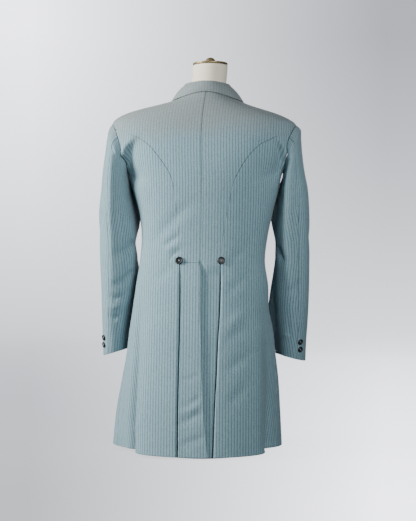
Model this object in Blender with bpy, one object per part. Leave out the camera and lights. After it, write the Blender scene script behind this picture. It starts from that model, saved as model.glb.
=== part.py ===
"""Frock coat on a limbless dress form, at real size in metres, +Z up.

The wearer faces -Y and the wearer's left is +X. The origin lies on the floor
under the stand. The body of the coat is one smooth surface: rings whose sizes
stand in RINGS, with the large folds of CREASES. Each body panel is the stretch
of that surface between two seams, and each sleeve is a tube that starts at the
armhole. Cloth is a wall: outer points, and the same points moved inwards.
"""

import math

import bmesh
import bpy
import numpy as np
from mathutils import Vector

# Driving dimensions
CLOTH = 0.0022              # wall of the wool with its stiffening
SEAM = 0.0004               # gap between two pieces at a seam
SEAT = 0.0008               # gap between the coat and the form at the shoulder line
SHOULDER_EASE = 0.007       # more than that in front of and behind the shoulder line
WAIST = 0.509               # height of the waist seam and the waist buttons
HEM = 0.006                 # height of the hem above the floor
LAP_STEP = 0.0016           # half the step between the two fronts where they lap
LAYER_GAP = 0.0010          # gap between two layers of cloth that lie on each other
TAIL_STEP = 0.0024          # depth of the right tail under the flap
TAIL_UNDERLAP = 0.030       # width of the right tail that the flap hides
PLEAT_TUCK = 0.012          # width of a tail that runs on under the side skirt
TUCK_START = 0.022          # the tails widen to that from this far below the waist
TUCK_RUN = 0.030            # and within this height
PLEAT_DEPTH = 0.010         # depth of the waist pleats below the buttons
PLEAT_WIDTH = 0.016         # breadth over which a tail's edge bends down into its pleat
PLEAT_START = 0.004         # the pleats open from this far below the waist
PLEAT_RUN = 0.070           # and within this height
EDGE_ROLL = 0.0048          # how far the side skirt's pleat edge turns inwards
ROLL_WIDTH = 0.009          # breadth of that turn
WAIST_BUTTON = 0.0200       # diameters
CUFF_BUTTON = 0.0160
FRONT_BUTTON = 0.0200
FRONT_BUTTON_HEIGHTS = (0.640, 0.575, 0.510)
BUTTON_LIFT = 0.0009        # from the smooth surface of the cloth to a button's back
BASE_RADIUS = 0.135
POLE_RADIUS = 0.0125
BASE_HEIGHT = 0.030
FORM_BOTTOM = 0.280
NECK_TOP = 1.030
CAP_HEIGHT = 0.006
KNOB_RADIUS = 0.0145
LAPEL_STEP = 0.0030         # gap from the right lapel to the left front's edge
SLANT_LIMIT = 3.5           # most that a slanting seam widens the step between its rows
METRES_PER_DEGREE = 0.003   # breadth of one degree on the body, for the creases


class Table:
    """Rows of named columns, read smoothly along the first column."""

    def __init__(self, names, rows):
        self.columns = dict(zip(names.split(), np.array(sorted(rows)).T))
        self.knots = next(iter(self.columns.values()))

    def __call__(self, name, at):
        values = self.columns[name]
        at = np.clip(at, self.knots[0], self.knots[-1])
        i = np.clip(np.searchsorted(self.knots, at, side="right") - 1, 0, len(values) - 2)
        step = self.knots[i + 1] - self.knots[i]
        t = (at - self.knots[i]) / step
        slope = np.gradient(values, self.knots)
        rise = (2 * t**3 - 3 * t**2 + 1) * values[i] + (3 * t**2 - 2 * t**3) * values[i + 1]
        bend = (t**3 - 2 * t**2 + t) * slope[i] + (t**3 - t**2) * slope[i + 1]
        return rise + step * bend


# Rings of the coat's body, named by their height at the centre back
RINGS = Table("height side_z front_z left right back front square", [
    (0.955, 0.944, 0.905, 0.064, 0.064, 0.058, 0.068, 2.00),
    (0.953, 0.937, 0.895, 0.079, 0.079, 0.062, 0.078, 2.00),
    (0.950, 0.930, 0.886, 0.098, 0.098, 0.067, 0.088, 2.00),
    (0.938, 0.920, 0.872, 0.134, 0.126, 0.077, 0.101, 2.05),
    (0.922, 0.911, 0.860, 0.172, 0.157, 0.087, 0.111, 2.10),
    (0.905, 0.899, 0.850, 0.209, 0.196, 0.096, 0.119, 2.15),
    (0.888, 0.886, 0.840, 0.231, 0.225, 0.102, 0.125, 2.25),
    (0.868, 0.872, 0.826, 0.243, 0.243, 0.107, 0.130, 2.35),
    (0.850, 0.853, 0.811, 0.246, 0.246, 0.111, 0.134, 2.40),
    (0.806, 0.808, 0.785, 0.236, 0.236, 0.117, 0.140, 2.45),
    (0.770, 0.770, 0.762, 0.214, 0.214, 0.119, 0.143, 2.45),
    (0.745, 0.745, 0.742, 0.201, 0.199, 0.119, 0.144, 2.40),
    (0.700, 0.700, 0.700, 0.190, 0.189, 0.116, 0.142, 2.35),
    (0.640, 0.640, 0.640, 0.175, 0.182, 0.109, 0.134, 2.30),
    (0.580, 0.580, 0.580, 0.167, 0.171, 0.103, 0.126, 2.30),
    (0.509, 0.509, 0.509, 0.170, 0.164, 0.102, 0.121, 2.30),
    (0.440, 0.441, 0.441, 0.181, 0.173, 0.112, 0.126, 2.30),
    (0.380, 0.381, 0.381, 0.191, 0.175, 0.121, 0.134, 2.30),
    (0.320, 0.321, 0.321, 0.202, 0.187, 0.131, 0.144, 2.30),
    (0.265, 0.266, 0.266, 0.209, 0.193, 0.139, 0.153, 2.30),
    (0.200, 0.202, 0.203, 0.220, 0.201, 0.148, 0.163, 2.30),
    (0.100, 0.104, 0.106, 0.236, 0.207, 0.159, 0.177, 2.30),
    (0.006, 0.012, 0.015, 0.243, 0.211, 0.166, 0.186, 2.30),
])

# How far the worn coat leans towards the wearer's right, by height
LEAN = Table("height shift", [
    (0.500, 0.0000), (0.600, -0.0020), (0.700, -0.0040), (0.870, -0.0040),
    (0.930, -0.0095), (0.955, -0.0120), (1.030, -0.0185), (1.060, -0.0187),
])

# Large folds: each runs from a to b, and a negative depth is a hollow
CREASES = [
    # angle_a height_a angle_b height_b width_a width_b depth_a depth_b
    (72, 0.400, 73, 0.000, 0.040, 0.044, -0.004, -0.060),
    (108, 0.330, 108, 0.000, 0.040, 0.044, 0.000, 0.018),
    (-74, 0.400, -77, 0.000, 0.038, 0.044, -0.003, -0.046),
    (-112, 0.330, -112, 0.000, 0.040, 0.040, 0.000, 0.006),
    (146, 0.360, 148, 0.000, 0.030, 0.036, -0.002, -0.018),
    (-146, 0.360, -148, 0.000, 0.030, 0.036, -0.002, -0.018),
    (62, 0.800, 70, 0.735, 0.022, 0.026, -0.004, -0.009),
    (-62, 0.800, -70, 0.735, 0.022, 0.026, -0.004, -0.009),
]

# Breadth of the side back seams from the centre back
SIDE_BACK_SEAM = Table("height left right", [
    (0.850, 0.234, 0.236), (0.830, 0.176, 0.193), (0.806, 0.137, 0.150),
    (0.783, 0.1155, 0.1255), (0.763, 0.101, 0.110), (0.739, 0.086, 0.0955),
    (0.704, 0.0742, 0.080), (0.671, 0.0695, 0.0738), (0.633, 0.0646, 0.067),
    (0.583, 0.0586, 0.0588), (0.540, 0.0565, 0.0545), (0.509, 0.0560, 0.0530),
])

# Below the waist: breadth of the two pleats, and of the flap's free edge, which
# lies past the centre on the wearer's right
PLEATS = Table("height left right flap", [
    (0.509, 0.0560, 0.0530, 0.000), (0.440, 0.0555, 0.0535, 0.000),
    (0.380, 0.0550, 0.0520, 0.000), (0.300, 0.0555, 0.0480, 0.004),
    (0.220, 0.0565, 0.0450, 0.006), (0.160, 0.0570, 0.0420, 0.0095),
    (0.100, 0.0575, 0.0400, 0.013), (0.050, 0.0575, 0.0385, 0.018),
    (0.006, 0.0575, 0.0365, 0.024),
])

# Breadth of the fronts' edge from the centre front: the roll line of the lapel
# down to the break, then a straight edge past the centre
FRONT_EDGE = Table("height across", [
    (0.955, 0.060), (0.938, 0.060), (0.905, 0.056), (0.868, 0.048),
    (0.806, 0.031), (0.745, 0.012), (0.700, -0.004), (0.655, -0.018),
    (0.600, -0.018), (0.509, -0.018), (0.250, -0.018), (0.006, -0.018),
])

LAPEL = Table("height width", [
    (0.912, 0.046), (0.890, 0.060), (0.866, 0.082), (0.846, 0.078),
    (0.806, 0.068), (0.745, 0.051), (0.700, 0.034), (0.668, 0.010),
])

# Collar by angle from the back: its seam's ring, the fold over the seam, half the
# breadth of the fold's turn, and the ring where the fall's edge lies
COLLAR = Table("angle seam fold_out fold_up turn edge", [
    (0, 0.9550, 0.0010, 0.0228, 0.0027, 0.9512), (30, 0.9550, 0.0000, 0.0240, 0.0027, 0.9512),
    (60, 0.9550, -0.0030, 0.0280, 0.0027, 0.9510), (90, 0.9550, -0.0060, 0.0300, 0.0027, 0.9505),
    (105, 0.9550, -0.0030, 0.0250, 0.0027, 0.9485), (118, 0.9545, 0.0010, 0.0180, 0.0027, 0.9440),
    (130, 0.9530, 0.0040, 0.0120, 0.0027, 0.9350), (139, 0.9500, 0.0050, 0.0090, 0.0027, 0.9240),
    (146, 0.9380, 0.0055, 0.0070, 0.0027, 0.9160),
])

# The sleeve's outer and inner edge seen from behind, and its place front to back
SLEEVE = Table("station outer_left outer_right outer_z inner_left inner_right inner_z mid_y half_y", [
    (0.00, 0.2430, 0.2430, 0.872, 0.2010, 0.2010, 0.746, 0.000, 0.058),
    (0.05, 0.2580, 0.2560, 0.859, 0.2055, 0.2060, 0.735, 0.000, 0.064),
    (0.12, 0.2605, 0.2580, 0.834, 0.2055, 0.2060, 0.716, 0.000, 0.067),
    (0.20, 0.2670, 0.2610, 0.790, 0.2030, 0.2030, 0.690, 0.000, 0.068),
    (0.28, 0.2745, 0.2660, 0.745, 0.1985, 0.1990, 0.665, -0.001, 0.067),
    (0.36, 0.2790, 0.2745, 0.698, 0.1925, 0.1950, 0.635, -0.003, 0.065),
    (0.45, 0.2845, 0.2795, 0.640, 0.1855, 0.1910, 0.598, -0.008, 0.062),
    (0.54, 0.2835, 0.2815, 0.575, 0.1800, 0.1905, 0.555, -0.015, 0.060),
    (0.64, 0.2815, 0.2825, 0.505, 0.1795, 0.1915, 0.500, -0.024, 0.058),
    (0.74, 0.2800, 0.2815, 0.430, 0.1870, 0.1900, 0.435, -0.036, 0.056),
    (0.84, 0.2805, 0.2785, 0.360, 0.2000, 0.1925, 0.370, -0.051, 0.054),
    (0.93, 0.2805, 0.2740, 0.295, 0.2100, 0.1970, 0.312, -0.066, 0.052),
    (1.00, 0.2810, 0.2725, 0.250, 0.2150, 0.1985, 0.268, -0.078, 0.051),
])
RIGHT_CUFF_DROP = 0.0125    # the right cuff hangs lower by this
ARMHOLE_TOP = 0.868         # ring heights at the armhole's top and bottom
ARMHOLE_BOTTOM = 0.745
ARMHOLE_HALF = 15.0         # degrees to each side of the body's side line
ARMHOLE_STEP = 22.5         # degrees between two points of the armhole
HIND_SEAM = 67.5            # angles of the sleeve's two seams, from its outer edge
FORE_SEAM = 247.5

# Cuff buttons by side: turn and station on the sleeve, and lift from its smooth
# surface, less than for the others because flat facets lie below a tight curve
CUFF_BUTTONS = {
    1: [(38.0, 0.925, 0.0000), (38.0, 0.955, 0.0000)],
    -1: [(55.0, 0.925, -0.0004), (55.0, 0.955, -0.0004)],
}

# The form under the coat, where it hangs free of it
FORM_RINGS = Table("height side_z front_z left right back front square", [
    (0.870, 0.866, 0.822, 0.2010, 0.2010, 0.095, 0.118, 2.10),
    (0.806, 0.806, 0.785, 0.1960, 0.1960, 0.103, 0.126, 2.10),
    (0.745, 0.745, 0.742, 0.1820, 0.1820, 0.105, 0.129, 2.10),
    (0.700, 0.700, 0.700, 0.1720, 0.1720, 0.102, 0.126, 2.10),
    (0.600, 0.600, 0.600, 0.1510, 0.1510, 0.088, 0.110, 2.10),
    (0.509, 0.509, 0.509, 0.1460, 0.1460, 0.085, 0.103, 2.10),
    (0.420, 0.420, 0.420, 0.1540, 0.1540, 0.095, 0.110, 2.10),
    (0.340, 0.340, 0.340, 0.1590, 0.1590, 0.101, 0.116, 2.10),
    (0.290, 0.290, 0.290, 0.1570, 0.1570, 0.099, 0.114, 2.10),
    (0.280, 0.280, 0.280, 0.1490, 0.1490, 0.091, 0.106, 2.10),
])
NECK_RINGS = Table("height side_z front_z left right back front square", [
    (0.961, 0.957, 0.940, 0.0500, 0.0500, 0.048, 0.054, 2.00),
    (0.975, 0.974, 0.968, 0.0470, 0.0470, 0.046, 0.048, 2.00),
    (1.000, 1.000, 1.000, 0.0460, 0.0460, 0.045, 0.046, 2.00),
    (1.030, 1.030, 1.030, 0.0465, 0.0465, 0.0465, 0.0465, 2.00),
])

# Ring heights at which the body's grids have a row
SHOULDER_ROWS = [0.955, 0.950, 0.938, 0.922, 0.905, 0.888, ARMHOLE_TOP]
SEAM_ROWS = [0.8435, 0.8370]
CHEST_ROWS = [ARMHOLE_BOTTOM, 0.715, 0.680, 0.640, 0.600, 0.555, WAIST]
SKIRT_ROWS = [WAIST, 0.488, 0.465, 0.435, 0.390, 0.335, 0.275, 0.210, 0.145, 0.080, HEM]


def smooth_step(t):
    """0 below 0, 1 above 1, and a soft rise between."""
    t = np.clip(t, 0, 1)
    return t * t * (3 - 2 * t)


def crease_depth(angle, height, creases):
    """Sum of the folds at points of the body, outwards in metres."""
    depth = np.zeros(np.broadcast(angle, height).shape)
    for angle_a, height_a, angle_b, height_b, width_a, width_b, depth_a, depth_b in creases:
        run = np.array([(angle_b - angle_a) * METRES_PER_DEGREE, height_b - height_a])
        across = (angle - angle_a) * METRES_PER_DEGREE
        down = height - height_a
        t = np.clip((across * run[0] + down * run[1]) / (run @ run), 0, 1)
        away = (across - t * run[0])**2 + (down - t * run[1])**2
        width = width_a + (width_b - width_a) * t
        depth += (depth_a + (depth_b - depth_a) * t) * np.exp(-away / width**2)
    return depth


def ring_points(rings, angle, height, creases=()):
    """Points on rings at angles in degrees from the back, positive to the left."""
    angle, height = np.broadcast_arrays(np.asarray(angle, float), np.asarray(height, float))
    sine, cosine = np.sin(np.radians(angle)), np.cos(np.radians(angle))
    half = np.where(sine >= 0, rings("left", height), rings("right", height))
    depth = np.where(cosine >= 0, rings("back", height), rings("front", height))
    square = rings("square", height)
    radius = (np.abs(sine / half)**square + np.abs(cosine / depth)**square)**(-1 / square)
    radius = radius + crease_depth(angle, height, creases)
    end_z = np.where(cosine >= 0, height, rings("front_z", height))
    z = rings("side_z", height) + (end_z - rings("side_z", height)) * cosine**2
    return np.stack([radius * sine + LEAN("shift", z), radius * cosine, z], axis=-1)


def normals(surface, u, v, du, dv, inside):
    """Unit normals of surface(u, v), turned away from the points inside."""
    along = surface(u + du, v) - surface(u - du, v)
    down = surface(u, v + dv) - surface(u, v - dv)
    normal = np.cross(along, down)
    normal /= np.linalg.norm(normal, axis=-1, keepdims=True)
    facing = np.sum(normal * (surface(u, v) - inside), axis=-1, keepdims=True)
    return np.where(facing < 0, -normal, normal)


def body(angle, height):
    """Points of the coat's body."""
    return ring_points(RINGS, angle, height, CREASES)


def body_normal(angle, height):
    """Outward normals of the coat's body."""
    below = body(angle, height) * [0, 0, 1] - [0, 0, 0.06]
    safe = np.clip(height, HEM + 0.001, RINGS.knots[-1] - 0.001)
    return normals(body, angle, safe, 0.25, -0.0008, below)


def back_angle(side, across, height):
    """Angle of a point on the back that lies across metres from the centre."""
    half = RINGS("left" if side > 0 else "right", height)
    square = RINGS("square", height)
    rest = np.clip(1 - (np.abs(across) / half)**square, 0, 1)
    return side * np.degrees(np.arctan2(across, RINGS("back", height) * rest**(1 / square)))


def front_angle(side, across, height):
    """The same on the front, where a negative across lies past the centre."""
    half = RINGS("left" if side > 0 else "right", height)
    square = RINGS("square", height)
    rest = np.clip(1 - (np.abs(across) / half)**square, 0, 1)
    angle = np.degrees(np.arctan2(across, -RINGS("front", height) * rest**(1 / square)))
    return side * np.where(angle < 0, angle + 360, angle)


def armhole(side, turn):
    """Angle and ring height on the armhole; turn 0 is the top, 90 the back."""
    middle = (ARMHOLE_TOP + ARMHOLE_BOTTOM) / 2
    half = (ARMHOLE_TOP - ARMHOLE_BOTTOM) / 2
    turn = np.radians(turn)
    return side * (90 - ARMHOLE_HALF * np.sin(turn)), middle + half * np.cos(turn)


def armhole_rows():
    """Ring heights of the armhole's points, top to bottom."""
    return list(armhole(1, np.arange(0, 180.1, ARMHOLE_STEP))[1])


def armhole_angle(side, height, edge):
    """Angle of the armhole's back (edge 1) or front (edge -1) at a ring height."""
    turn = np.arange(180, -0.1, -ARMHOLE_STEP)
    angle, level = armhole(1, edge * turn)
    return side * np.interp(height, level, angle)


def inset(angle, height, distance):
    """The angle moved along its ring by a distance."""
    point = ring_points(RINGS, angle, height)
    return angle + np.degrees(distance / np.hypot(point[..., 0], point[..., 1]))


def beside(angle, height, distance):
    """An edge moved off its seam, square to the way the seam runs."""
    point = ring_points(RINGS, angle, height)
    across = np.radians(angle) * np.hypot(point[..., 0], point[..., 1])
    slant = np.sqrt(1 + np.gradient(across, height)**2)
    return inset(angle, height, distance * np.minimum(slant, SLANT_LIMIT))


def triangles_of_wall(rows, columns):
    """Faces of a wall whose outer grid comes first and inner grid second."""
    index = np.arange(rows * columns).reshape(rows, columns)
    a, b, c, d = index[:-1, :-1], index[:-1, 1:], index[1:, 1:], index[1:, :-1]
    front = np.concatenate([np.stack([a, b, c], -1).reshape(-1, 3),
                            np.stack([a, c, d], -1).reshape(-1, 3)])
    back = front[:, ::-1] + rows * columns
    rim = np.concatenate([index[0, :-1], index[:-1, -1], index[-1, :0:-1], index[:0:-1, 0]])
    ahead = np.roll(rim, -1)
    under = rows * columns
    edge = np.concatenate([np.stack([rim, rim + under, ahead], -1),
                           np.stack([ahead, rim + under, ahead + under], -1)])
    return np.concatenate([front, back, edge])


def add_object(name, points, faces, material):
    """A closed mesh object with its faces turned outwards."""
    mesh = bpy.data.meshes.new(name)
    mesh.from_pydata(points.tolist(), [], faces.tolist())
    shape = bmesh.new()
    shape.from_mesh(mesh)
    bmesh.ops.recalc_face_normals(shape, faces=shape.faces)
    shape.to_mesh(mesh)
    shape.free()
    mesh.shade_smooth()
    mesh.set_sharp_from_angle(angle=math.radians(40))
    mesh.materials.append(material)
    made = bpy.data.objects.new(name, mesh)
    bpy.context.collection.objects.link(made)
    return made


def add_wall(name, outer, inner, material):
    """A cloth wall between two grids of points."""
    rows, columns = outer.shape[:2]
    points = np.concatenate([outer.reshape(-1, 3), inner.reshape(-1, 3)])
    return add_object(name, points, triangles_of_wall(rows, columns), material)


def add_panel(name, heights, start, end, fractions, depth, material):
    """A piece of the body between two edges, with depth moving it in or out."""
    heights = np.array(heights)[:, None]
    fractions = np.array(fractions)[None, :]
    angle = start[:, None] + (end - start)[:, None] * fractions
    height = np.broadcast_to(heights, angle.shape)
    normal = body_normal(angle, height)
    outer = body(angle, height) + normal * depth(angle, height)[..., None]
    return add_wall(name, outer, outer - normal * CLOTH, material)


def breadth(angle, height):
    """Signed distance of a point from the centre line, as the seams measure it."""
    return ring_points(RINGS, angle, height)[..., 0] - LEAN("shift", height)


def sink(height):
    """How far the pleats have opened: 0 at the waist, 1 a hand below."""
    return smooth_step((WAIST - PLEAT_START - height) / PLEAT_RUN)


def pleat_drop(height):
    """Depth of a tail's sunk edge under the side skirt beside it."""
    lying = CLOTH + LAYER_GAP
    return lying + (PLEAT_DEPTH - lying) * sink(height)


def back_seam(side, heights):
    """Angles of the side back seam, and of the pleat below the waist."""
    name = "left" if side > 0 else "right"
    heights = np.asarray(heights, float)
    across = np.where(heights > WAIST, SIDE_BACK_SEAM(name, heights), PLEATS(name, heights))
    angle = back_angle(side, across, heights)
    start = armhole(side, 2 * ARMHOLE_STEP)
    return np.where(heights >= start[1] - 1e-6, start[0], angle)


def back_outer_edge(side, heights):
    """Angles of the back's outer edge: shoulder, armhole, then side back seam."""
    heights = np.asarray(heights, float)
    seam_top = armhole(side, 2 * ARMHOLE_STEP)[1]
    edge = np.where(heights > ARMHOLE_TOP, side * 90.0, armhole_angle(side, heights, 1))
    edge = np.where(heights < seam_top - 1e-6, back_seam(side, heights), edge)
    return beside(edge, heights, -side * SEAM / 2)


def flap_depth(angle, height):
    """The flap stands out where it laps, and its pleat side is sunk."""
    across = breadth(angle, height)
    lap = smooth_step((0.040 - across) / TAIL_UNDERLAP)
    pleat = smooth_step(1 + (across - PLEATS("left", height)) / PLEAT_WIDTH)
    return LAYER_GAP * lap - pleat_drop(height) * pleat


def right_tail_depth(angle, height):
    """The right tail lies under the flap and under the right side skirt."""
    across = -breadth(angle, height)
    below = smooth_step((WAIST - height) / 0.018)
    lap = smooth_step((PLEATS("flap", height) + 0.020 - across) / 0.018)
    pleat = smooth_step(1 + (across - PLEATS("right", height)) / PLEAT_WIDTH)
    return -below * (TAIL_STEP * lap + pleat_drop(height) * pleat)


def side_back_depth(side):
    """The pleat edge of a side skirt rolls inwards below the waist."""
    name = "left" if side > 0 else "right"

    def depth(angle, height):
        from_edge = side * breadth(angle, height) - PLEATS(name, np.minimum(height, WAIST))
        roll = np.clip(1 - from_edge / ROLL_WIDTH, 0, 1)**2
        return -EDGE_ROLL * sink(height) * roll

    return depth


def make_backs(wool):
    """Left back, its flap, and the right back with its tail."""
    arm = armhole_rows()
    upper = SHOULDER_ROWS[:-1] + arm[:3] + SEAM_ROWS + arm[3:-1] + CHEST_ROWS
    none = lambda angle, height: np.zeros(angle.shape)
    even = np.linspace(0, 1, 9)
    centre = inset(np.zeros(len(upper)), np.array(upper), SEAM / 2)
    add_panel("back_left", upper, centre, back_outer_edge(1, upper), even, none, wool)

    lower = [WAIST - SEAM] + SKIRT_ROWS[1:]
    heights = np.array(lower)
    free = back_angle(-1, PLEATS("flap", heights), heights)
    grow = smooth_step((WAIST - TUCK_START - heights) / TUCK_RUN)
    tucked = back_angle(1, PLEATS("left", heights) + PLEAT_TUCK * grow - SEAM, heights)
    columns = [0, 0.09, 0.25, 0.42, 0.60, 0.72, 0.80, 0.90, 1]
    add_panel("tail_left", lower, free, tucked, columns, flap_depth, wool)

    whole = upper + SKIRT_ROWS[1:]
    heights = np.array(whole)
    below = smooth_step((WAIST - TUCK_START - heights) / TUCK_RUN)
    seam = inset(np.zeros(len(whole)), heights, -SEAM / 2)
    hidden = back_angle(1, TAIL_UNDERLAP, heights)
    inner = seam + (hidden - seam) * below
    outer = back_outer_edge(-1, whole)
    tucked = back_angle(-1, PLEATS("right", heights) + PLEAT_TUCK, heights)
    outer = np.where(heights < WAIST, outer + (tucked - outer) * below, outer)
    columns = [0, 0.12, 0.24, 0.36, 0.48, 0.60, 0.70, 0.80, 0.90, 1]
    add_panel("back_right", whole, inner, outer, columns, right_tail_depth, wool)


def make_side_backs(wool):
    """Side bodies with the side skirts, from the side back seam to the side seam."""
    arm = armhole_rows()
    first = (arm[2] + SEAM_ROWS[0]) / 2
    rows = [first] + SEAM_ROWS + arm[3:-1] + CHEST_ROWS + SKIRT_ROWS[1:]
    heights = np.array(rows)
    columns = [0, 0.035, 0.075, 0.14, 0.24, 0.36, 0.47, 0.56, 0.66, 0.78, 0.89, 1]
    for side, word in ((1, "left"), (-1, "right")):
        seam = back_seam(side, heights)
        seam[0] = (seam[1] + armhole(side, 2 * ARMHOLE_STEP)[0]) / 2
        start = beside(seam, heights, side * SEAM / 2)
        armhole_edge = armhole_angle(side, heights, 1)
        end = np.where(heights > ARMHOLE_BOTTOM, armhole_edge, side * 90.0)
        end = inset(end, heights, -side * SEAM / 2)
        add_panel("side_back_" + word, rows, start, end, columns, side_back_depth(side), wool)


def front_depth(side):
    """The left front stands out where it laps over the right."""
    def depth(angle, height):
        across = side * breadth(angle, height)
        return side * LAP_STEP * smooth_step((0.060 - across) / 0.035)
    return depth


def make_fronts(wool):
    """Fronts from shoulder to hem, the left over the right."""
    rows = SHOULDER_ROWS[:-1] + armhole_rows()[:-1] + CHEST_ROWS + SKIRT_ROWS[1:]
    heights = np.array(rows)
    columns = [0, 0.10, 0.20, 0.28, 0.36, 0.46, 0.57, 0.68, 0.78, 0.87, 0.94, 1]
    for side, word in ((1, "left"), (-1, "right")):
        in_armhole = (heights < ARMHOLE_TOP) & (heights > ARMHOLE_BOTTOM)
        start = np.where(in_armhole, armhole_angle(side, heights, -1), side * 90.0)
        start = inset(start, heights, side * SEAM / 2)
        end = front_angle(side, FRONT_EDGE("across", heights), heights)
        add_panel("front_" + word, rows, start, end, columns, front_depth(side), wool)


def make_lapels(wool):
    """Lapels, each a wall on its front's own points, moved out."""
    rows = [0.912, 0.890, 0.866, 0.846, 0.806, 0.775, 0.745, 0.722, 0.705, 0.691, 0.668]
    fractions = np.array([0, 0.15, 0.4, 0.7, 1])[None, :]
    for side, word, count in ((1, "left", 11), (-1, "right", 10)):
        heights = np.array(rows[:count])
        roll = FRONT_EDGE("across", heights)
        visible = roll if side > 0 else np.maximum(roll, LAPEL_STEP - roll)
        start = front_angle(side, visible, heights)
        end = front_angle(side, roll + LAPEL("width", heights), heights)
        angle = start[:, None] + (end - start)[:, None] * fractions
        height = np.broadcast_to(heights[:, None], angle.shape)
        normal = body_normal(angle, height)
        lift = 0.0008 + 0.0040 * (1 - fractions)**2 + front_depth(side)(angle, height)
        inner = body(angle, height) + normal * lift[..., None]
        add_wall("lapel_" + word, inner + normal * CLOTH, inner, wool)


def collar_path(angle):
    """The middle of the collar's wall from the neck seam over the fold to its edge."""
    seam = body(angle, COLLAR("seam", np.abs(angle)))
    out = np.stack([np.sin(np.radians(angle)), np.cos(np.radians(angle))], axis=-1)
    up = np.array([0.0, 0.0, 1.0])
    out = np.concatenate([out, np.zeros(angle.shape + (1,))], axis=-1)
    turn = COLLAR("turn", np.abs(angle))[:, None]
    fold = seam + out * COLLAR("fold_out", np.abs(angle))[:, None]
    fold = fold + up * COLLAR("fold_up", np.abs(angle))[:, None]
    edge_height = COLLAR("edge", np.abs(angle))
    edge_normal = body_normal(angle, edge_height)
    edge = body(angle, edge_height) + edge_normal * (CLOTH / 2 + 0.0010)
    path = [seam + up * (CLOTH / 2 + 0.0004)]
    inner_side, outer_side = fold - out * turn, fold + out * turn
    for t in (0.35, 0.72, 1.0):
        path.append(path[0] + (inner_side - path[0]) * t)
    for bend in (40, 90, 140):
        bend = math.radians(bend)
        path.append(fold - out * turn * math.cos(bend) + up * turn * math.sin(bend))
    for t in (0.0, 0.25, 0.5, 0.75, 1.0):
        belly = 0.0035 * math.sin(math.pi * t)
        path.append(outer_side + (edge - outer_side) * t + (out + up) * belly * 0.7)
    return np.stack(path, axis=1)


def make_collar(wool):
    """Collar: stand and fall as one folded wall round the neck."""
    half = np.array([15, 30, 46, 62, 78, 92, 105, 118, 130, 139, 146], float)
    angle = np.concatenate([-half[::-1], [0], half])
    path = collar_path(angle)
    ahead = np.gradient(path, axis=1)
    around = np.gradient(path, axis=0)
    normal = np.cross(ahead, around)
    normal /= np.linalg.norm(normal, axis=-1, keepdims=True)
    add_wall("collar", path + normal * CLOTH / 2, path - normal * CLOTH / 2, wool)


def sleeve_tube(side, turn, station):
    """Points of the sleeve without its armhole; turn 0 is outside, 90 the back."""
    word = "left" if side > 0 else "right"
    outer = [SLEEVE("outer_" + word, station), SLEEVE("outer_z", station)]
    inner = [SLEEVE("inner_" + word, station), SLEEVE("inner_z", station)]
    turn = np.radians(turn)
    x = (outer[0] + inner[0]) / 2 + (outer[0] - inner[0]) / 2 * np.cos(turn)
    z = (outer[1] + inner[1]) / 2 + (outer[1] - inner[1]) / 2 * np.cos(turn)
    y = SLEEVE("mid_y", station) + SLEEVE("half_y", station) * np.sin(turn)
    z = z - (RIGHT_CUFF_DROP * station**2 if side < 0 else 0)
    return np.stack([side * x + LEAN("shift", z), y, z], axis=-1)


def armhole_points(side, turn):
    """Points of the armhole's edge on the body."""
    angle, height = armhole(side, turn)
    return body(angle, height)


def sleeve(side, turn, station):
    """Points of the sleeve, whose first ring is the armhole's edge."""
    turn, station = np.broadcast_arrays(turn, station)
    tube = sleeve_tube(side, turn, station)
    first = sleeve_tube(side, turn, np.zeros(turn.shape))
    fade = np.clip(1 - station / 0.16, 0, 1)**2
    return tube + (armhole_points(side, turn) - first) * fade[..., None]


def sleeve_normal(side, turn, station):
    """Outward normals of the sleeve."""
    axis = (sleeve(side, turn, station) + sleeve(side, turn + 180, station)) / 2
    surface = lambda u, v: sleeve(side, u, v)
    return normals(surface, turn, np.clip(station, 0.004, 0.996), 1.0, 0.003, axis)


def make_sleeves(wool):
    """Two-piece sleeves, each tube split at the hind and the fore seam."""
    stations = np.array([0.0, 0.035, 0.08, 0.14, 0.20, 0.28, 0.36, 0.45,
                         0.54, 0.64, 0.74, 0.84, 0.93, 1.0])[:, None]
    halves = (("upper", FORE_SEAM - 360, HIND_SEAM), ("under", HIND_SEAM, FORE_SEAM))
    for side, word in ((1, "left"), (-1, "right")):
        for half, first, last in halves:
            turn = np.arange(first, last + 1, ARMHOLE_STEP)[None, :] * np.ones(stations.shape)
            gap = np.degrees(SEAM / 2 / 0.055)
            turn[:, 0] += gap
            turn[:, -1] -= gap
            station = stations * np.ones(turn.shape)
            outer = sleeve(side, turn, station)
            normal = sleeve_normal(side, turn, station)
            leave = outer[1] - outer[0]
            leave /= np.linalg.norm(leave, axis=-1, keepdims=True)
            at_body = body_normal(*armhole(side, turn[0]))
            convex = np.sum(leave * at_body, axis=-1, keepdims=True) < 0
            normal[0] = np.where(convex, at_body, normal[0])
            outer[0] += leave * SEAM
            add_wall(f"sleeve_{half}_{word}", outer, outer - normal * CLOTH, wool)


def turned(name, profile, segments, material):
    """A solid turned about Z from (radius, height) pairs between its two poles."""
    shape = bmesh.new()
    line = [shape.verts.new((radius, 0, z)) for radius, z in profile]
    edges = [shape.edges.new(pair) for pair in zip(line, line[1:])]
    bmesh.ops.spin(shape, geom=line + edges, axis=(0, 0, 1), cent=(0, 0, 0),
                   steps=segments, angle=2 * math.pi)
    bmesh.ops.remove_doubles(shape, verts=shape.verts, dist=0.00001)
    bmesh.ops.recalc_face_normals(shape, faces=shape.faces)
    mesh = bpy.data.meshes.new(name)
    shape.to_mesh(mesh)
    shape.free()
    mesh.shade_smooth()
    mesh.set_sharp_from_angle(angle=math.radians(40))
    mesh.materials.append(material)
    made = bpy.data.objects.new(name, mesh)
    bpy.context.collection.objects.link(made)
    return made


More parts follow.
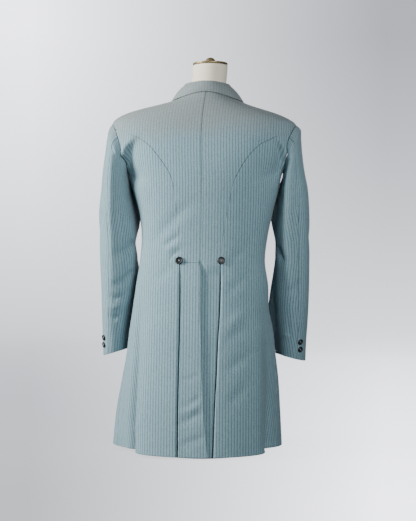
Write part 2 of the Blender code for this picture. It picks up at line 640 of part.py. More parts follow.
def add_button(name, diameter, place, normal, lift, horn):
    """A button with a raised rim and a dished middle, just off the cloth."""
    radius, thick = diameter / 2, diameter * 0.20
    profile = [(0, 0.6 * thick), (0.58 * radius, 0.6 * thick), (0.76 * radius, thick),
               (radius, 0.62 * thick), (0.86 * radius, 0), (0, 0)]
    made = turned(name, profile, 16, horn)
    normal = Vector(normal)
    made.location = Vector(place) + normal * lift
    made.rotation_mode = "QUATERNION"
    made.rotation_quaternion = normal.to_track_quat("Z", "Y")


def make_buttons(horn):
    """Two at the waist behind, two on each cuff and three in front."""
    for side, word in ((1, "left"), (-1, "right")):
        angle = back_angle(side, PLEATS(word, WAIST), np.array(WAIST))
        add_button("button_waist_" + word, WAIST_BUTTON, body(angle, WAIST),
                   body_normal(angle, WAIST), BUTTON_LIFT, horn)
        for number, (turn, station, lift) in enumerate(CUFF_BUTTONS[side], start=1):
            place = sleeve(side, np.array(turn), np.array(station))
            normal = sleeve_normal(side, np.array(turn), np.array(station))
            name = f"button_cuff_{word}_{number}"
            add_button(name, CUFF_BUTTON, place, normal, lift, horn)
    for number, height in enumerate(FRONT_BUTTON_HEIGHTS, start=1):
        angle = np.array(180.0)
        normal = body_normal(angle, height)
        place = body(angle, height) + normal * LAP_STEP
        add_button(f"button_front_{number}", FRONT_BUTTON, place, normal, BUTTON_LIFT, horn)


def make_form(linen):
    """The form: its shoulders a hair under the coat, free of it lower down."""
    angle = np.arange(0, 360, 12.0)
    loops = [ring_points(NECK_RINGS, angle, z) for z in (NECK_TOP, 1.000, 0.975, 0.961)]
    ease = SHOULDER_EASE * smooth_step(np.abs(np.cos(np.radians(angle))) / 0.40)
    for height in (0.955, 0.953, 0.950, 0.944, 0.938, 0.930, 0.922, 0.914, 0.905):
        level = np.full(angle.shape, height)
        under = (CLOTH + SEAT + ease)[:, None]
        loops.append(body(angle, level) - body_normal(angle, level) * under)
    for height in (0.870, 0.840, 0.806, 0.770, 0.735, 0.690, 0.645, 0.600, 0.555,
                   0.509, 0.465, 0.420, 0.380, 0.340, 0.290, FORM_BOTTOM):
        loops.append(ring_points(FORM_RINGS, angle, height))
    count = len(angle)
    points = np.concatenate(loops)
    faces = []
    for row in range(len(loops) - 1):
        for column in range(count):
            a = row * count + column
            b = row * count + (column + 1) % count
            faces += [(a, b, b + count), (a, b + count, a + count)]
    last = len(points) - count
    faces += [(0, k + 1, k) for k in range(1, count - 1)]
    faces += [(last, last + k, last + k + 1) for k in range(1, count - 1)]
    add_object("form_body", points, np.array(faces), linen)


def make_stand(iron, brass):
    """Neck cap and knob above, pole and base below."""
    top = NECK_TOP + SEAM
    shift = float(LEAN("shift", 1.040))
    cap = turned("neck_cap", [(0, CAP_HEIGHT), (0.0430, CAP_HEIGHT), (0.0470, CAP_HEIGHT / 2),
                              (0.0460, 0), (0, 0)], 24, brass)
    cap.location = (shift, 0, top)
    knob = turned("neck_knob", [(0, 0.0140), (0.0070, 0.0128), (0.0120, 0.0092),
                                (KNOB_RADIUS, 0.0045), (0.0130, 0), (0, 0)], 16, brass)
    knob.location = (shift, 0, top + CAP_HEIGHT + SEAM)
    turned("stand_base", [(0, BASE_HEIGHT), (0.020, BASE_HEIGHT), (0.024, 0.022), (0.040, 0.016),
                          (BASE_RADIUS - 0.008, 0.012), (BASE_RADIUS, 0.007), (BASE_RADIUS, 0),
                          (0, 0)], 40, iron)
    length = FORM_BOTTOM - BASE_HEIGHT - 2 * SEAM
    pole = turned("stand_pole", [(0, length), (POLE_RADIUS, length), (POLE_RADIUS, 0), (0, 0)],
                  16, iron)
    pole.location = (0, 0, BASE_HEIGHT + SEAM)


def make_material(name, colour, roughness, metallic=0.0):
    """A plain material in linear colour."""
    material = bpy.data.materials.new(name)
    material.use_nodes = True
    shader = material.node_tree.nodes["Principled BSDF"]
    shader.inputs["Base Color"].default_value = (*colour, 1)
    shader.inputs["Roughness"].default_value = roughness
    shader.inputs["Metallic"].default_value = metallic
    return material


def main():
    """Clears the scene and makes the coat on its form."""
    for thing in list(bpy.data.objects):
        bpy.data.objects.remove(thing, do_unlink=True)
    wool = make_material("striped wool", (0.26, 0.34, 0.38), 0.85)
    horn = make_material("dark horn", (0.02, 0.02, 0.025), 0.35)
    linen = make_material("form cover", (0.62, 0.60, 0.55), 0.80)
    brass = make_material("turned brass", (0.35, 0.29, 0.16), 0.35, 0.8)
    iron = make_material("stand iron", (0.04, 0.04, 0.045), 0.45, 0.9)
    make_backs(wool)
    make_side_backs(wool)
    make_fronts(wool)
    make_lapels(wool)
    make_collar(wool)
    make_sleeves(wool)
    make_buttons(horn)
    make_form(linen)
    make_stand(iron, brass)


main()
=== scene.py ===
import math

import bpy
import numpy as np
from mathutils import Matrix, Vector


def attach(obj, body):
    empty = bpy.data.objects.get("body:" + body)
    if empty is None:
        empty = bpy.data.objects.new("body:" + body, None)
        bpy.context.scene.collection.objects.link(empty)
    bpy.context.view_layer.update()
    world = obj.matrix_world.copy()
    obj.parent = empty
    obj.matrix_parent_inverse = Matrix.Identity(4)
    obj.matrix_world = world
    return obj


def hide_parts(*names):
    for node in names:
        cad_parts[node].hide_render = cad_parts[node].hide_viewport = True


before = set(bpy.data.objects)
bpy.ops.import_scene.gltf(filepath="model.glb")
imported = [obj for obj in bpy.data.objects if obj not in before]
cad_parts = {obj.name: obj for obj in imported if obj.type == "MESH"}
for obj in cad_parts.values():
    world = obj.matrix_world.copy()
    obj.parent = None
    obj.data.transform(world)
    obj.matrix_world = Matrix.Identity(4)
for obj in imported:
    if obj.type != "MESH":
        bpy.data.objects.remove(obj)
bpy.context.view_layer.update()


# The stand: a heavy round base cast in iron and painted black, with a steel pole
# that is screwed into it. Both are turned shapes under a bloom of dust, hidden by
# the skirt from most sides.

BASE_RADIUS = 0.135
BASE_HEIGHT = 0.030
POLE_RADIUS = 0.0125
FORM_BOTTOM = 0.280
GAP = 0.0004
CRISP_ANGLE = 38


def linear(colour):
    """An sRGB hex colour as the linear RGBA that a shader takes."""
    values = [int(colour[i:i + 2], 16) / 255 for i in (1, 3, 5)]
    values = [v / 12.92 if v <= 0.04045 else ((v + 0.055) / 1.055)**2.4 for v in values]
    return (*values, 1.0)


def new_material(name):
    """A named material, its node tree and its Principled shader."""
    made = bpy.data.materials.new(name)
    made.use_nodes = True
    return made, made.node_tree, made.node_tree.nodes["Principled BSDF"]


def node(tree, kind, inputs=None, **settings):
    """Adds a shader node, sets it, fills or links its inputs and gives its outputs."""
    made = tree.nodes.new("ShaderNode" + kind)
    for key, value in settings.items():
        setattr(made, key, value)
    for key, value in (inputs or {}).items():
        if isinstance(value, bpy.types.NodeSocket):
            tree.links.new(value, made.inputs[key])
        else:
            made.inputs[key].default_value = value
    return made.outputs


def noise(tree, where, scale, detail):
    """A noise texture with about one lump in each 1/scale of a metre."""
    return node(tree, "TexNoise", {"Vector": where, "Scale": scale, "Detail": detail})["Fac"]


def mixed(tree, share, first, second):
    """Two colours, each an sRGB hex or a socket, mixed by a share."""
    first, second = (linear(c) if isinstance(c, str) else c for c in (first, second))
    return node(tree, "MixRGB", {"Fac": share, "Color1": first, "Color2": second})["Color"]


def spread(tree, value, start, end, low=0.0, high=1.0, kind="LINEAR"):
    """A value between start and end carried to low and high, and held at both."""
    limits = {"Value": value, "From Min": start, "From Max": end, "To Min": low, "To Max": high}
    return node(tree, "MapRange", limits, interpolation_type=kind)["Result"]


def raise_surface(tree, shader, height, strength):
    """A bump of 0.3 mm at full height and strength."""
    bump = node(tree, "Bump", {"Height": height, "Strength": strength, "Distance": 0.0003})
    tree.links.new(bump["Normal"], shader.inputs["Normal"])


def bend(radius, middle, start, end, count):
    """Points (radius, height) on a round corner between two angles in degrees."""
    turn = np.radians(np.linspace(start, end, count))
    return np.stack([middle[0] + radius * np.cos(turn), middle[1] + radius * np.sin(turn)], 1)


def ring_faces(rings, count):
    """The faces between rings of count points each, which look outwards as they rise."""
    index = np.arange(rings * count).reshape(rings, count)
    ahead = np.roll(index, -1, axis=1)
    return np.stack([index[:-1], ahead[:-1], ahead[1:], index[1:]], -1).reshape(-1, 4)


def add_object(name, points, faces, material, crisp=None):
    """A smooth object at the origin, with its edges sharp from an angle in degrees."""
    mesh = bpy.data.meshes.new(name)
    mesh.from_pydata(points.reshape(-1, 3).tolist(), [], faces)
    mesh.shade_smooth()
    if crisp:
        mesh.set_sharp_from_angle(angle=math.radians(crisp))
    mesh.materials.append(material)
    made = bpy.data.objects.new(name, mesh)
    bpy.context.collection.objects.link(made)
    return made


def stand_for(piece, replaced):
    """Holds a piece on the part's body, in place of the solid that it dresses."""
    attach(piece, "root")
    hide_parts(replaced)


def laid_along(axis):
    """The turn that lays the Z axis along another one."""
    return np.array(Vector(axis).to_track_quat("Z", "Y").to_matrix())


def turned(name, profile, count, material, place=(0, 0, 0), axis=(0, 0, 1)):
    """A closed turned solid. Point (i, k) is profile i carried round by k/count of a
    turn; one point on the axis closes each end. The axis is then laid along a normal."""
    profile = np.asarray(profile, float)
    turn = np.arange(count) * 2 * np.pi / count
    ring = np.stack([np.cos(turn), np.sin(turn)], -1)
    points = np.concatenate([profile[:, None, :1] * ring[None],
                             np.broadcast_to(profile[:, None, 1:], (len(profile), count, 1))], -1)
    ends = np.array([[0, 0, profile[0, 1]], [0, 0, profile[-1, 1]]])
    points = np.concatenate([points.reshape(-1, 3), ends])
    faces = ring_faces(len(profile), count).tolist()
    last = (len(profile) - 1) * count
    faces += [(last + count, (k + 1) % count, k) for k in range(count)]
    faces += [(last + count + 1, last + k, last + (k + 1) % count) for k in range(count)]
    if profile[0, 1] > profile[-1, 1]:
        faces = [face[::-1] for face in faces]
    points = points @ laid_along(axis).T + np.asarray(place, float)
    return add_object(name, points, faces, material, CRISP_ANGLE)


# Cast iron, spray painted: nearly black, with a fine orange peel that breaks up
# the gloss and a rougher bloom of dust.
stand_iron, tree, shader = new_material("black painted iron")
where = node(tree, "TexCoord")["Object"]
dust = noise(tree, where, 22.0, 5.0)
tree.links.new(mixed(tree, dust, "#1a1a1c", "#2b2b2d"), shader.inputs["Base Color"])
tree.links.new(spread(tree, dust, 0.0, 1.0, 0.34, 0.62), shader.inputs["Roughness"])
raise_surface(tree, shader, noise(tree, where, 900.0, 3.0), 0.25)

base_profile = np.concatenate([
    [(0.0195, BASE_HEIGHT)], bend(0.003, (0.0195, 0.027), 60, 0, 4), [(0.026, 0.021)],
    [(0.040, 0.0160), (0.090, 0.0142)], bend(0.005, (BASE_RADIUS - 0.005, 0.0072), 90, 0, 6),
    [(BASE_RADIUS, 0.0012), (BASE_RADIUS - 0.001, 0.0)],
])
base = turned("stand_base_turned", base_profile, 128, stand_iron)
pole_length = FORM_BOTTOM - BASE_HEIGHT - 2 * GAP
pole_profile = [(0.0115, 0), (POLE_RADIUS, 0.001), (POLE_RADIUS, pole_length - 0.001),
                (0.0115, pole_length)]
pole = turned("stand_pole_turned", pole_profile, 48, stand_iron, (0, 0, BASE_HEIGHT + GAP))
stand_for(base, "stand_base")
stand_for(pole, "stand_pole")


# The form: a padded body without limbs under a tight cotton cover, which carries
# the coat at the shoulder line. Its shoulders follow the coat's own surface from
# below, so that surface is worked out here, from rings of named sizes.

CLOTH = 0.0022
SEAT = 0.0008
SHOULDER_EASE = 0.007
WAIST = 0.509
HEM = 0.006
NECK_TOP = 1.030
NECK_RADIUS = 0.0465
METRES_PER_DEGREE = 0.003
SHOULDER_TILT = 0.015


class Table:
    """Rows of named columns, read smoothly along the first column."""

    def __init__(self, names, rows):
        self.columns = dict(zip(names.split(), np.array(sorted(rows)).T))
        self.knots = next(iter(self.columns.values()))

    def __call__(self, name, at):
        """A cubic through the two rows beside `at`, with slopes from their neighbours."""
        values = self.columns[name]
        at = np.clip(at, self.knots[0], self.knots[-1])
        i = np.clip(np.searchsorted(self.knots, at, side="right") - 1, 0, len(values) - 2)
        step = self.knots[i + 1] - self.knots[i]
        t = (at - self.knots[i]) / step
        slope = np.gradient(values, self.knots)
        rise = (2 * t**3 - 3 * t**2 + 1) * values[i] + (3 * t**2 - 2 * t**3) * values[i + 1]
        lean = (t**3 - 2 * t**2 + t) * slope[i] + (t**3 - t**2) * slope[i + 1]
        return rise + step * lean


RINGS = Table("height side_z front_z left right back front square", [
    (0.955, 0.944, 0.905, 0.064, 0.064, 0.058, 0.068, 2.00),
    (0.953, 0.937, 0.895, 0.079, 0.079, 0.062, 0.078, 2.00),
    (0.950, 0.930, 0.886, 0.098, 0.098, 0.067, 0.088, 2.00),
    (0.938, 0.920, 0.872, 0.134, 0.126, 0.077, 0.101, 2.05),
    (0.922, 0.911, 0.860, 0.172, 0.157, 0.087, 0.111, 2.10),
    (0.905, 0.899, 0.850, 0.209, 0.196, 0.096, 0.119, 2.15),
    (0.888, 0.886, 0.840, 0.231, 0.225, 0.102, 0.125, 2.25),
    (0.868, 0.872, 0.826, 0.243, 0.243, 0.107, 0.130, 2.35),
    (0.850, 0.853, 0.811, 0.246, 0.246, 0.111, 0.134, 2.40),
    (0.806, 0.808, 0.785, 0.236, 0.236, 0.117, 0.140, 2.45),
    (0.770, 0.770, 0.762, 0.214, 0.214, 0.119, 0.143, 2.45),
    (0.745, 0.745, 0.742, 0.201, 0.199, 0.119, 0.144, 2.40),
    (0.700, 0.700, 0.700, 0.190, 0.189, 0.116, 0.142, 2.35),
    (0.640, 0.640, 0.640, 0.175, 0.182, 0.109, 0.134, 2.30),
    (0.580, 0.580, 0.580, 0.167, 0.171, 0.103, 0.126, 2.30),
    (0.509, 0.509, 0.509, 0.170, 0.164, 0.102, 0.121, 2.30),
    (0.440, 0.441, 0.441, 0.181, 0.173, 0.112, 0.126, 2.30),
    (0.380, 0.381, 0.381, 0.191, 0.175, 0.121, 0.134, 2.30),
    (0.320, 0.321, 0.321, 0.202, 0.187, 0.131, 0.144, 2.30),
    (0.265, 0.266, 0.266, 0.209, 0.193, 0.139, 0.153, 2.30),
    (0.200, 0.202, 0.203, 0.220, 0.201, 0.148, 0.163, 2.30),
    (0.100, 0.104, 0.106, 0.236, 0.207, 0.159, 0.177, 2.30),
    (0.006, 0.012, 0.015, 0.243, 0.211, 0.166, 0.186, 2.30),
])
LEAN = Table("height shift", [
    (0.500, 0.0000), (0.600, -0.0020), (0.700, -0.0040), (0.870, -0.0040),
    (0.930, -0.0095), (0.955, -0.0120), (1.030, -0.0185), (1.060, -0.0187),
])
NECK_RINGS = Table("height side_z front_z left right back front square", [
    (0.961, 0.957, 0.940, 0.0500, 0.0500, 0.048, 0.054, 2.00),
    (0.975, 0.974, 0.968, 0.0470, 0.0470, 0.046, 0.048, 2.00),
    (1.000, 1.000, 1.000, 0.0460, 0.0460, 0.045, 0.046, 2.00),
    (1.030, 1.030, 1.030, 0.0465, 0.0465, 0.0465, 0.0465, 2.00),
])
FORM_RINGS = Table("height side_z front_z left right back front square", [
    (0.870, 0.866, 0.822, 0.2010, 0.2010, 0.095, 0.118, 2.10),
    (0.806, 0.806, 0.785, 0.1960, 0.1960, 0.103, 0.126, 2.10),
    (0.745, 0.745, 0.742, 0.1820, 0.1820, 0.105, 0.129, 2.10),
    (0.700, 0.700, 0.700, 0.1720, 0.1720, 0.102, 0.126, 2.10),
    (0.600, 0.600, 0.600, 0.1510, 0.1510, 0.088, 0.110, 2.10),
    (0.509, 0.509, 0.509, 0.1460, 0.1460, 0.085, 0.103, 2.10),
    (0.420, 0.420, 0.420, 0.1540, 0.1540, 0.095, 0.110, 2.10),
    (0.340, 0.340, 0.340, 0.1590, 0.1590, 0.101, 0.116, 2.10),
    (0.290, 0.290, 0.290, 0.1570, 0.1570, 0.099, 0.114, 2.10),
    (0.280, 0.280, 0.280, 0.1490, 0.1490, 0.091, 0.106, 2.10),
])
# The large folds of the skirt, and the hollows and fuller cloth round the armholes,
# each a line from a to b by angle and height; a negative depth is a hollow
LARGE_FOLDS = [
    # angle_a height_a angle_b height_b width_a width_b depth_a depth_b
    (72, 0.400, 73, 0.000, 0.040, 0.044, -0.004, -0.060),
    (108, 0.330, 108, 0.000, 0.040, 0.044, 0.000, 0.018),
    (-74, 0.400, -77, 0.000, 0.038, 0.044, -0.003, -0.046),
    (-112, 0.330, -112, 0.000, 0.040, 0.040, 0.000, 0.006),
    (146, 0.360, 148, 0.000, 0.030, 0.036, -0.002, -0.018),
    (-146, 0.360, -148, 0.000, 0.030, 0.036, -0.002, -0.018),
    (62, 0.800, 70, 0.735, 0.022, 0.026, -0.004, -0.009),
    (-62, 0.800, -70, 0.735, 0.022, 0.026, -0.004, -0.009),
    (-84, 0.768, -86, 0.695, 0.036, 0.036, 0.013, 0.008),
    (86, 0.750, 86, 0.690, 0.036, 0.036, 0.006, 0.004),
    (88, 0.886, 88, 0.872, 0.022, 0.022, 0.005, 0.005),
    (69, 0.430, 70, 0.000, 0.007, 0.008, -0.002, -0.012),
    (76, 0.400, 76, 0.000, 0.015, 0.018, 0.002, 0.016),
]


def smooth_step(t):
    """0 below 0, 1 above 1, and 3t^2 - 2t^3 between."""
    t = np.clip(t, 0, 1)
    return t * t * (3 - 2 * t)


def large_fold_depth(angle, height):
    """Sum of bells exp(-(d/w)^2) round the lines of LARGE_FOLDS, outwards in metres."""
    depth = np.zeros(np.broadcast(angle, height).shape)
    for angle_a, height_a, angle_b, height_b, width_a, width_b, depth_a, depth_b in LARGE_FOLDS:
        run = np.array([(angle_b - angle_a) * METRES_PER_DEGREE, height_b - height_a])
        across = (angle - angle_a) * METRES_PER_DEGREE
        down = height - height_a
        t = np.clip((across * run[0] + down * run[1]) / (run @ run), 0, 1)
        away = (across - t * run[0])**2 + (down - t * run[1])**2
        width = width_a + (width_b - width_a) * t
        depth += (depth_a + (depth_b - depth_a) * t) * np.exp(-away / width**2)
    return depth


def ring_points(rings, angle, height, folded=False):
    """Points on superellipse rings: radius (|sin/half|^n + |cos/depth|^n)^(-1/n) at an
    angle from the back, positive to the left, and z from side_z at the sides to front_z
    or the height by cos^2. folded adds the large folds and lifts the left shoulder."""
    angle, height = np.broadcast_arrays(np.asarray(angle, float), np.asarray(height, float))
    sine, cosine = np.sin(np.radians(angle)), np.cos(np.radians(angle))
    half = np.where(sine >= 0, rings("left", height), rings("right", height))
    depth = np.where(cosine >= 0, rings("back", height), rings("front", height))
    square = rings("square", height)
    radius = (np.abs(sine / half)**square + np.abs(cosine / depth)**square)**(-1 / square)
    if folded:
        radius = radius + large_fold_depth(angle, height)
    end_z = np.where(cosine >= 0, height, rings("front_z", height))
    z = rings("side_z", height) + (end_z - rings("side_z", height)) * cosine**2
    if folded:
        z = z + SHOULDER_TILT * radius * sine * smooth_step((height - 0.78) / 0.09)
    return np.stack([radius * sine + LEAN("shift", z), radius * cosine, z], axis=-1)


def body(angle, height):
    """Points of the coat's body with its large folds."""
    return ring_points(RINGS, angle, height, folded=True)


def normals(surface, u, v, du, dv, inside):
    """Unit normals from central differences of surface(u, v), away from the points inside."""
    along = surface(u + du, v) - surface(u - du, v)
    down = surface(u, v + dv) - surface(u, v - dv)
    normal = np.cross(along, down)
    normal /= np.linalg.norm(normal, axis=-1, keepdims=True)
    facing = np.sum(normal * (surface(u, v) - inside), axis=-1, keepdims=True)
    return np.where(facing < 0, -normal, normal)


def body_normal(angle, height):
    """Outward normals of the coat's body."""
    below = body(angle, height) * [0, 0, 1] - [0, 0, 0.06]
    safe = np.clip(height, HEM + 0.001, RINGS.knots[-1] - 0.001)
    return normals(body, angle, safe, 0.25, -0.0008, below)


# Cotton jersey, knitted and pulled tight over padding: matt cream, with a fine
# knit of about 0.9 mm, drawn at 3.2 mm so that it shows, and a little soiling. A
# wave texture of scale 1 has one band in each pi/10 of a metre.
KNIT_PITCH = 0.003158
form_cover, tree, shader = new_material("knitted cotton cover")
where = node(tree, "TexCoord")["Object"]
courses = {"Vector": where, "Scale": math.pi / 10 / KNIT_PITCH, "Distortion": 0.6}
courses = node(tree, "TexWave", courses, wave_type="BANDS", bands_direction="Z")["Fac"]
cream = mixed(tree, noise(tree, where, 14.0, 6.0), "#d9d3c4", "#c6beac")
tree.links.new(cream, shader.inputs["Base Color"])
shader.inputs["Roughness"].default_value = 0.88
shader.inputs["Sheen Weight"].default_value = 0.15
raise_surface(tree, shader, courses, 0.35)

angle = np.arange(0, 360, 3.0)
loops = []
for inset, drop in ((0.0040, 0.0), (0.0020, 0.0006), (0.0008, 0.0018), (0.0, 0.004)):
    loop = ring_points(NECK_RINGS, angle, NECK_TOP - drop)
    loops.append(loop + (loop.mean(axis=0) - loop) * inset / NECK_RADIUS)
loops += [ring_points(NECK_RINGS, angle, z) for z in np.linspace(1.022, 0.961, 16)]
ease = SHOULDER_EASE * smooth_step(np.abs(np.cos(np.radians(angle))) / 0.40)
under = (CLOTH + SEAT + ease)[:, None]
for height in (0.955, 0.953, 0.950, 0.947, 0.944, 0.941, 0.938, 0.934, 0.930, 0.926, 0.922,
               0.918, 0.914, 0.9095, 0.905):
    level = np.full(angle.shape, height)
    loops.append(body(angle, level) - body_normal(angle, level) * under)
loops += [ring_points(FORM_RINGS, angle, z) for z in np.linspace(0.870, FORM_BOTTOM, 60)]
faces = ring_faces(len(loops), len(angle))[:, [0, 3, 2, 1]].tolist()
lowest = np.arange(len(angle)) + (len(loops) - 1) * len(angle)
faces += [list(range(len(angle))), lowest[::-1].tolist()]
form = add_object("form_padded", np.stack(loops), faces, form_cover, 60)
stand_for(form, "form_body")


# The neck cap and knob: turned brass, lacquered and gone dull and greenish, the
# disc closing the form's neck and the low knob for lifting it.

CAP_HEIGHT = 0.006
KNOB_RADIUS = 0.0145

# Brass, turned on a lathe and aged: olive brown tarnish in patches of about 15 mm
# over a warm metal, which is rougher where it is darker.
old_brass, tree, shader = new_material("aged turned brass")
tarnish = noise(tree, node(tree, "TexCoord")["Object"], 60.0, 6.0)
tree.links.new(mixed(tree, tarnish, "#a3936a", "#6b6247"), shader.inputs["Base Color"])
tree.links.new(spread(tree, tarnish, 0.0, 1.0, 0.28, 0.52), shader.inputs["Roughness"])
shader.inputs["Metallic"].default_value = 0.75

neck_x = float(LEAN("shift", 1.040))
cap_top = NECK_TOP + GAP + CAP_HEIGHT
cap_profile = np.concatenate([
    [(0.020, CAP_HEIGHT), (0.036, CAP_HEIGHT - 0.0004)],
    bend(0.0026, (0.0444, CAP_HEIGHT - 0.0030), 80, -30, 7), [(0.0460, 0.0)],
])
cap = turned("neck_cap_turned", cap_profile, 96, old_brass, (neck_x, 0, NECK_TOP + GAP))
swell = np.radians(np.linspace(84, 12, 14))
knob_profile = np.concatenate([
    np.stack([KNOB_RADIUS * np.cos(swell)**0.85, 0.0140 * np.sin(swell)], -1),
    [(0.0140, 0.0016), (0.0128, 0.0)],
])
knob = turned("neck_knob_turned", knob_profile, 64, old_brass, (neck_x, 0, cap_top + GAP))
stand_for(cap, "neck_cap")
stand_for(knob, "neck_knob")


# The back: two long pieces of striped wool, joined down the centre to the waist.
# Below it the left tail laps over the right one, and both run on under the side
# skirts, where the pleats open below the two waist buttons.

SEAM = 0.00012
LAYER_GAP = 0.0010
TAIL_STEP = 0.0080
WAIST_SEAM = 0.503
TAIL_STEP_RUN = 0.035
TAIL_UNDERLAP = 0.030
FLAP_REACH = 0.040
SINK_RUN = 0.018
PLEAT_TUCK = 0.012
TUCK_START = 0.022
TUCK_RUN = 0.030
PLEAT_DEPTH = 0.015
PLEAT_WIDTH = 0.005
PLEAT_START = 0.004
PLEAT_RUN = 0.070
ARMHOLE_TOP = 0.868
ARMHOLE_BOTTOM = 0.745
ARMHOLE_HALF = 15.0
EDGE_ROUND = 0.0018
EDGE_DROP = 0.0012
BODY_COLUMNS = 61
FAR_OFF = 0.2
PRESSED_OFF = 0.01
STRIPE = 0.0077
TWILL = 0.0024
STITCH_LENGTH = 0.0055
STITCH_INSET = 0.0042

SIDE_BACK_SEAM = Table("height left right", [
    (0.850, 0.234, 0.236), (0.830, 0.176, 0.193), (0.806, 0.137, 0.150),
    (0.783, 0.1155, 0.1255), (0.763, 0.101, 0.110), (0.739, 0.086, 0.0955),
    (0.704, 0.0742, 0.080), (0.671, 0.0695, 0.0738), (0.633, 0.0646, 0.067),
    (0.583, 0.0586, 0.0588), (0.540, 0.0565, 0.0545), (0.509, 0.0560, 0.0530),
])
PLEATS = Table("height left right flap", [
    (0.509, 0.0560, 0.0530, 0.000), (0.440, 0.0555, 0.0535, 0.000),
    (0.380, 0.0550, 0.0520, 0.000), (0.300, 0.0555, 0.0480, 0.004),
    (0.220, 0.0565, 0.0450, 0.006), (0.160, 0.0570, 0.0420, 0.0095),
    (0.100, 0.0575, 0.0400, 0.013), (0.050, 0.0575, 0.0385, 0.018),
    (0.006, 0.0575, 0.0365, 0.024),
])

# Small folds of the worn cloth as seen square on from behind: the breadth x to the
# wearer's left and height z of the points on each, its depth there, then its width on
# the left and on the right of the line as it runs, in a plot with x to the right and z
# up, and how sharp it is (1 pressed, 2 soft)
BACK_FOLDS = [
    # the hollow below the ridge that runs from the shoulder blade to the armhole
    ([(0.172, 0.822, -0.003), (0.188, 0.797, -0.011), (0.194, 0.768, -0.013),
      (0.188, 0.735, -0.006)], 0.009, 0.018, 1.7),
    ([(-0.196, 0.820, -0.003), (-0.206, 0.797, -0.010), (-0.208, 0.770, -0.011),
      (-0.196, 0.735, -0.004)], 0.014, 0.008, 1.7),
    # that ridge itself
    ([(0.170, 0.836, 0.001), (0.199, 0.810, 0.006), (0.213, 0.780, 0.010),
      (0.213, 0.755, 0.003)], 0.009, 0.007, 1.5),
    ([(-0.190, 0.834, 0.001), (-0.210, 0.810, 0.005), (-0.221, 0.784, 0.008),
      (-0.220, 0.760, 0.002)], 0.007, 0.009, 1.5),
    # drag lines that run up and out from the left waist button
    ([(0.083, 0.509, -0.0008), (0.073, 0.523, -0.0031), (0.060, 0.531, -0.0033),
      (0.048, 0.531, -0.0006)], 0.0035, 0.0050, 1.5),
    ([(0.106, 0.546, -0.0006), (0.083, 0.556, -0.0037), (0.062, 0.569, -0.0028),
      (0.052, 0.578, 0.0)], 0.006, 0.009, 1.8),
    ([(0.098, 0.530, 0.0), (0.078, 0.543, 0.0028), (0.056, 0.551, 0.0014)], 0.007, 0.007, 2.0),
    # the broad drag from the centre seam down to the left hip, and one below the waist
    ([(0.018, 0.660, -0.0006), (0.055, 0.630, -0.0030), (0.098, 0.590, -0.0034),
      (0.132, 0.548, -0.0008)], 0.016, 0.014, 2.0),
    ([(0.070, 0.492, -0.0006), (0.100, 0.474, -0.0028), (0.136, 0.452, -0.0008)],
     0.012, 0.014, 2.0),
    ([(-0.066, 0.500, -0.0004), (-0.094, 0.520, -0.0026), (-0.128, 0.552, -0.0006)],
     0.010, 0.012, 2.0),
    # the short pull where the flap leaves the centre seam
    ([(0.001, 0.5015, -0.0040), (-0.004, 0.4965, -0.0050), (-0.013, 0.486, -0.0004)],
     0.0028, 0.0040, 1.4),
    # soft ripples across the flap
    ([(0.045, 0.137, -0.0002), (0.022, 0.146, -0.0014),
      (0.004, 0.157, -0.0016)], 0.008, 0.006, 2.0),
    ([(0.050, 0.096, -0.0012), (0.026, 0.102, -0.0026),
      (0.000, 0.118, -0.0022)], 0.010, 0.008, 2.0),
    ([(0.050, 0.118, 0.0008), (0.024, 0.126, 0.0017), (0.002, 0.139, 0.0012)], 0.007, 0.007, 2.0),
    ([(0.048, 0.038, -0.0008), (0.020, 0.048, -0.0024),
      (-0.010, 0.060, -0.0014)], 0.012, 0.009, 2.0),
    ([(0.044, 0.205, -0.0006), (0.020, 0.208, -0.0014),
      (0.004, 0.214, -0.0010)], 0.008, 0.007, 2.0),
    # long slanting ripples of the right skirt
    ([(-0.068, 0.300, -0.0006), (-0.098, 0.325, -0.0036),
      (-0.140, 0.350, -0.0008)], 0.016, 0.013, 2.0),
    ([(-0.070, 0.334, 0.0006), (-0.100, 0.364, 0.0034),
      (-0.140, 0.392, 0.0008)], 0.014, 0.014, 2.0),
    ([(-0.066, 0.424, -0.0006), (-0.092, 0.446, -0.0030),
      (-0.130, 0.476, -0.0008)], 0.014, 0.014, 2.0),
    ([(-0.070, 0.228, -0.0008), (-0.104, 0.252, -0.0040),
      (-0.140, 0.276, -0.0008)], 0.013, 0.013, 2.0),
    ([(-0.074, 0.140, -0.0006), (-0.104, 0.170, -0.0036),
      (-0.134, 0.206, -0.0010)], 0.015, 0.013, 2.0),
    # the crease near the hem of the left skirt
    ([(0.176, 0.058, 0.0004), (0.172, 0.072, 0.0022), (0.158, 0.086, 0.0006)], 0.0035, 0.005, 1.4),
    # a soft hollow inside the right skirt's fold
    ([(-0.160, 0.230, -0.0006), (-0.168, 0.120, -0.0040),
      (-0.172, 0.030, -0.0050)], 0.014, 0.010, 2.0),
]

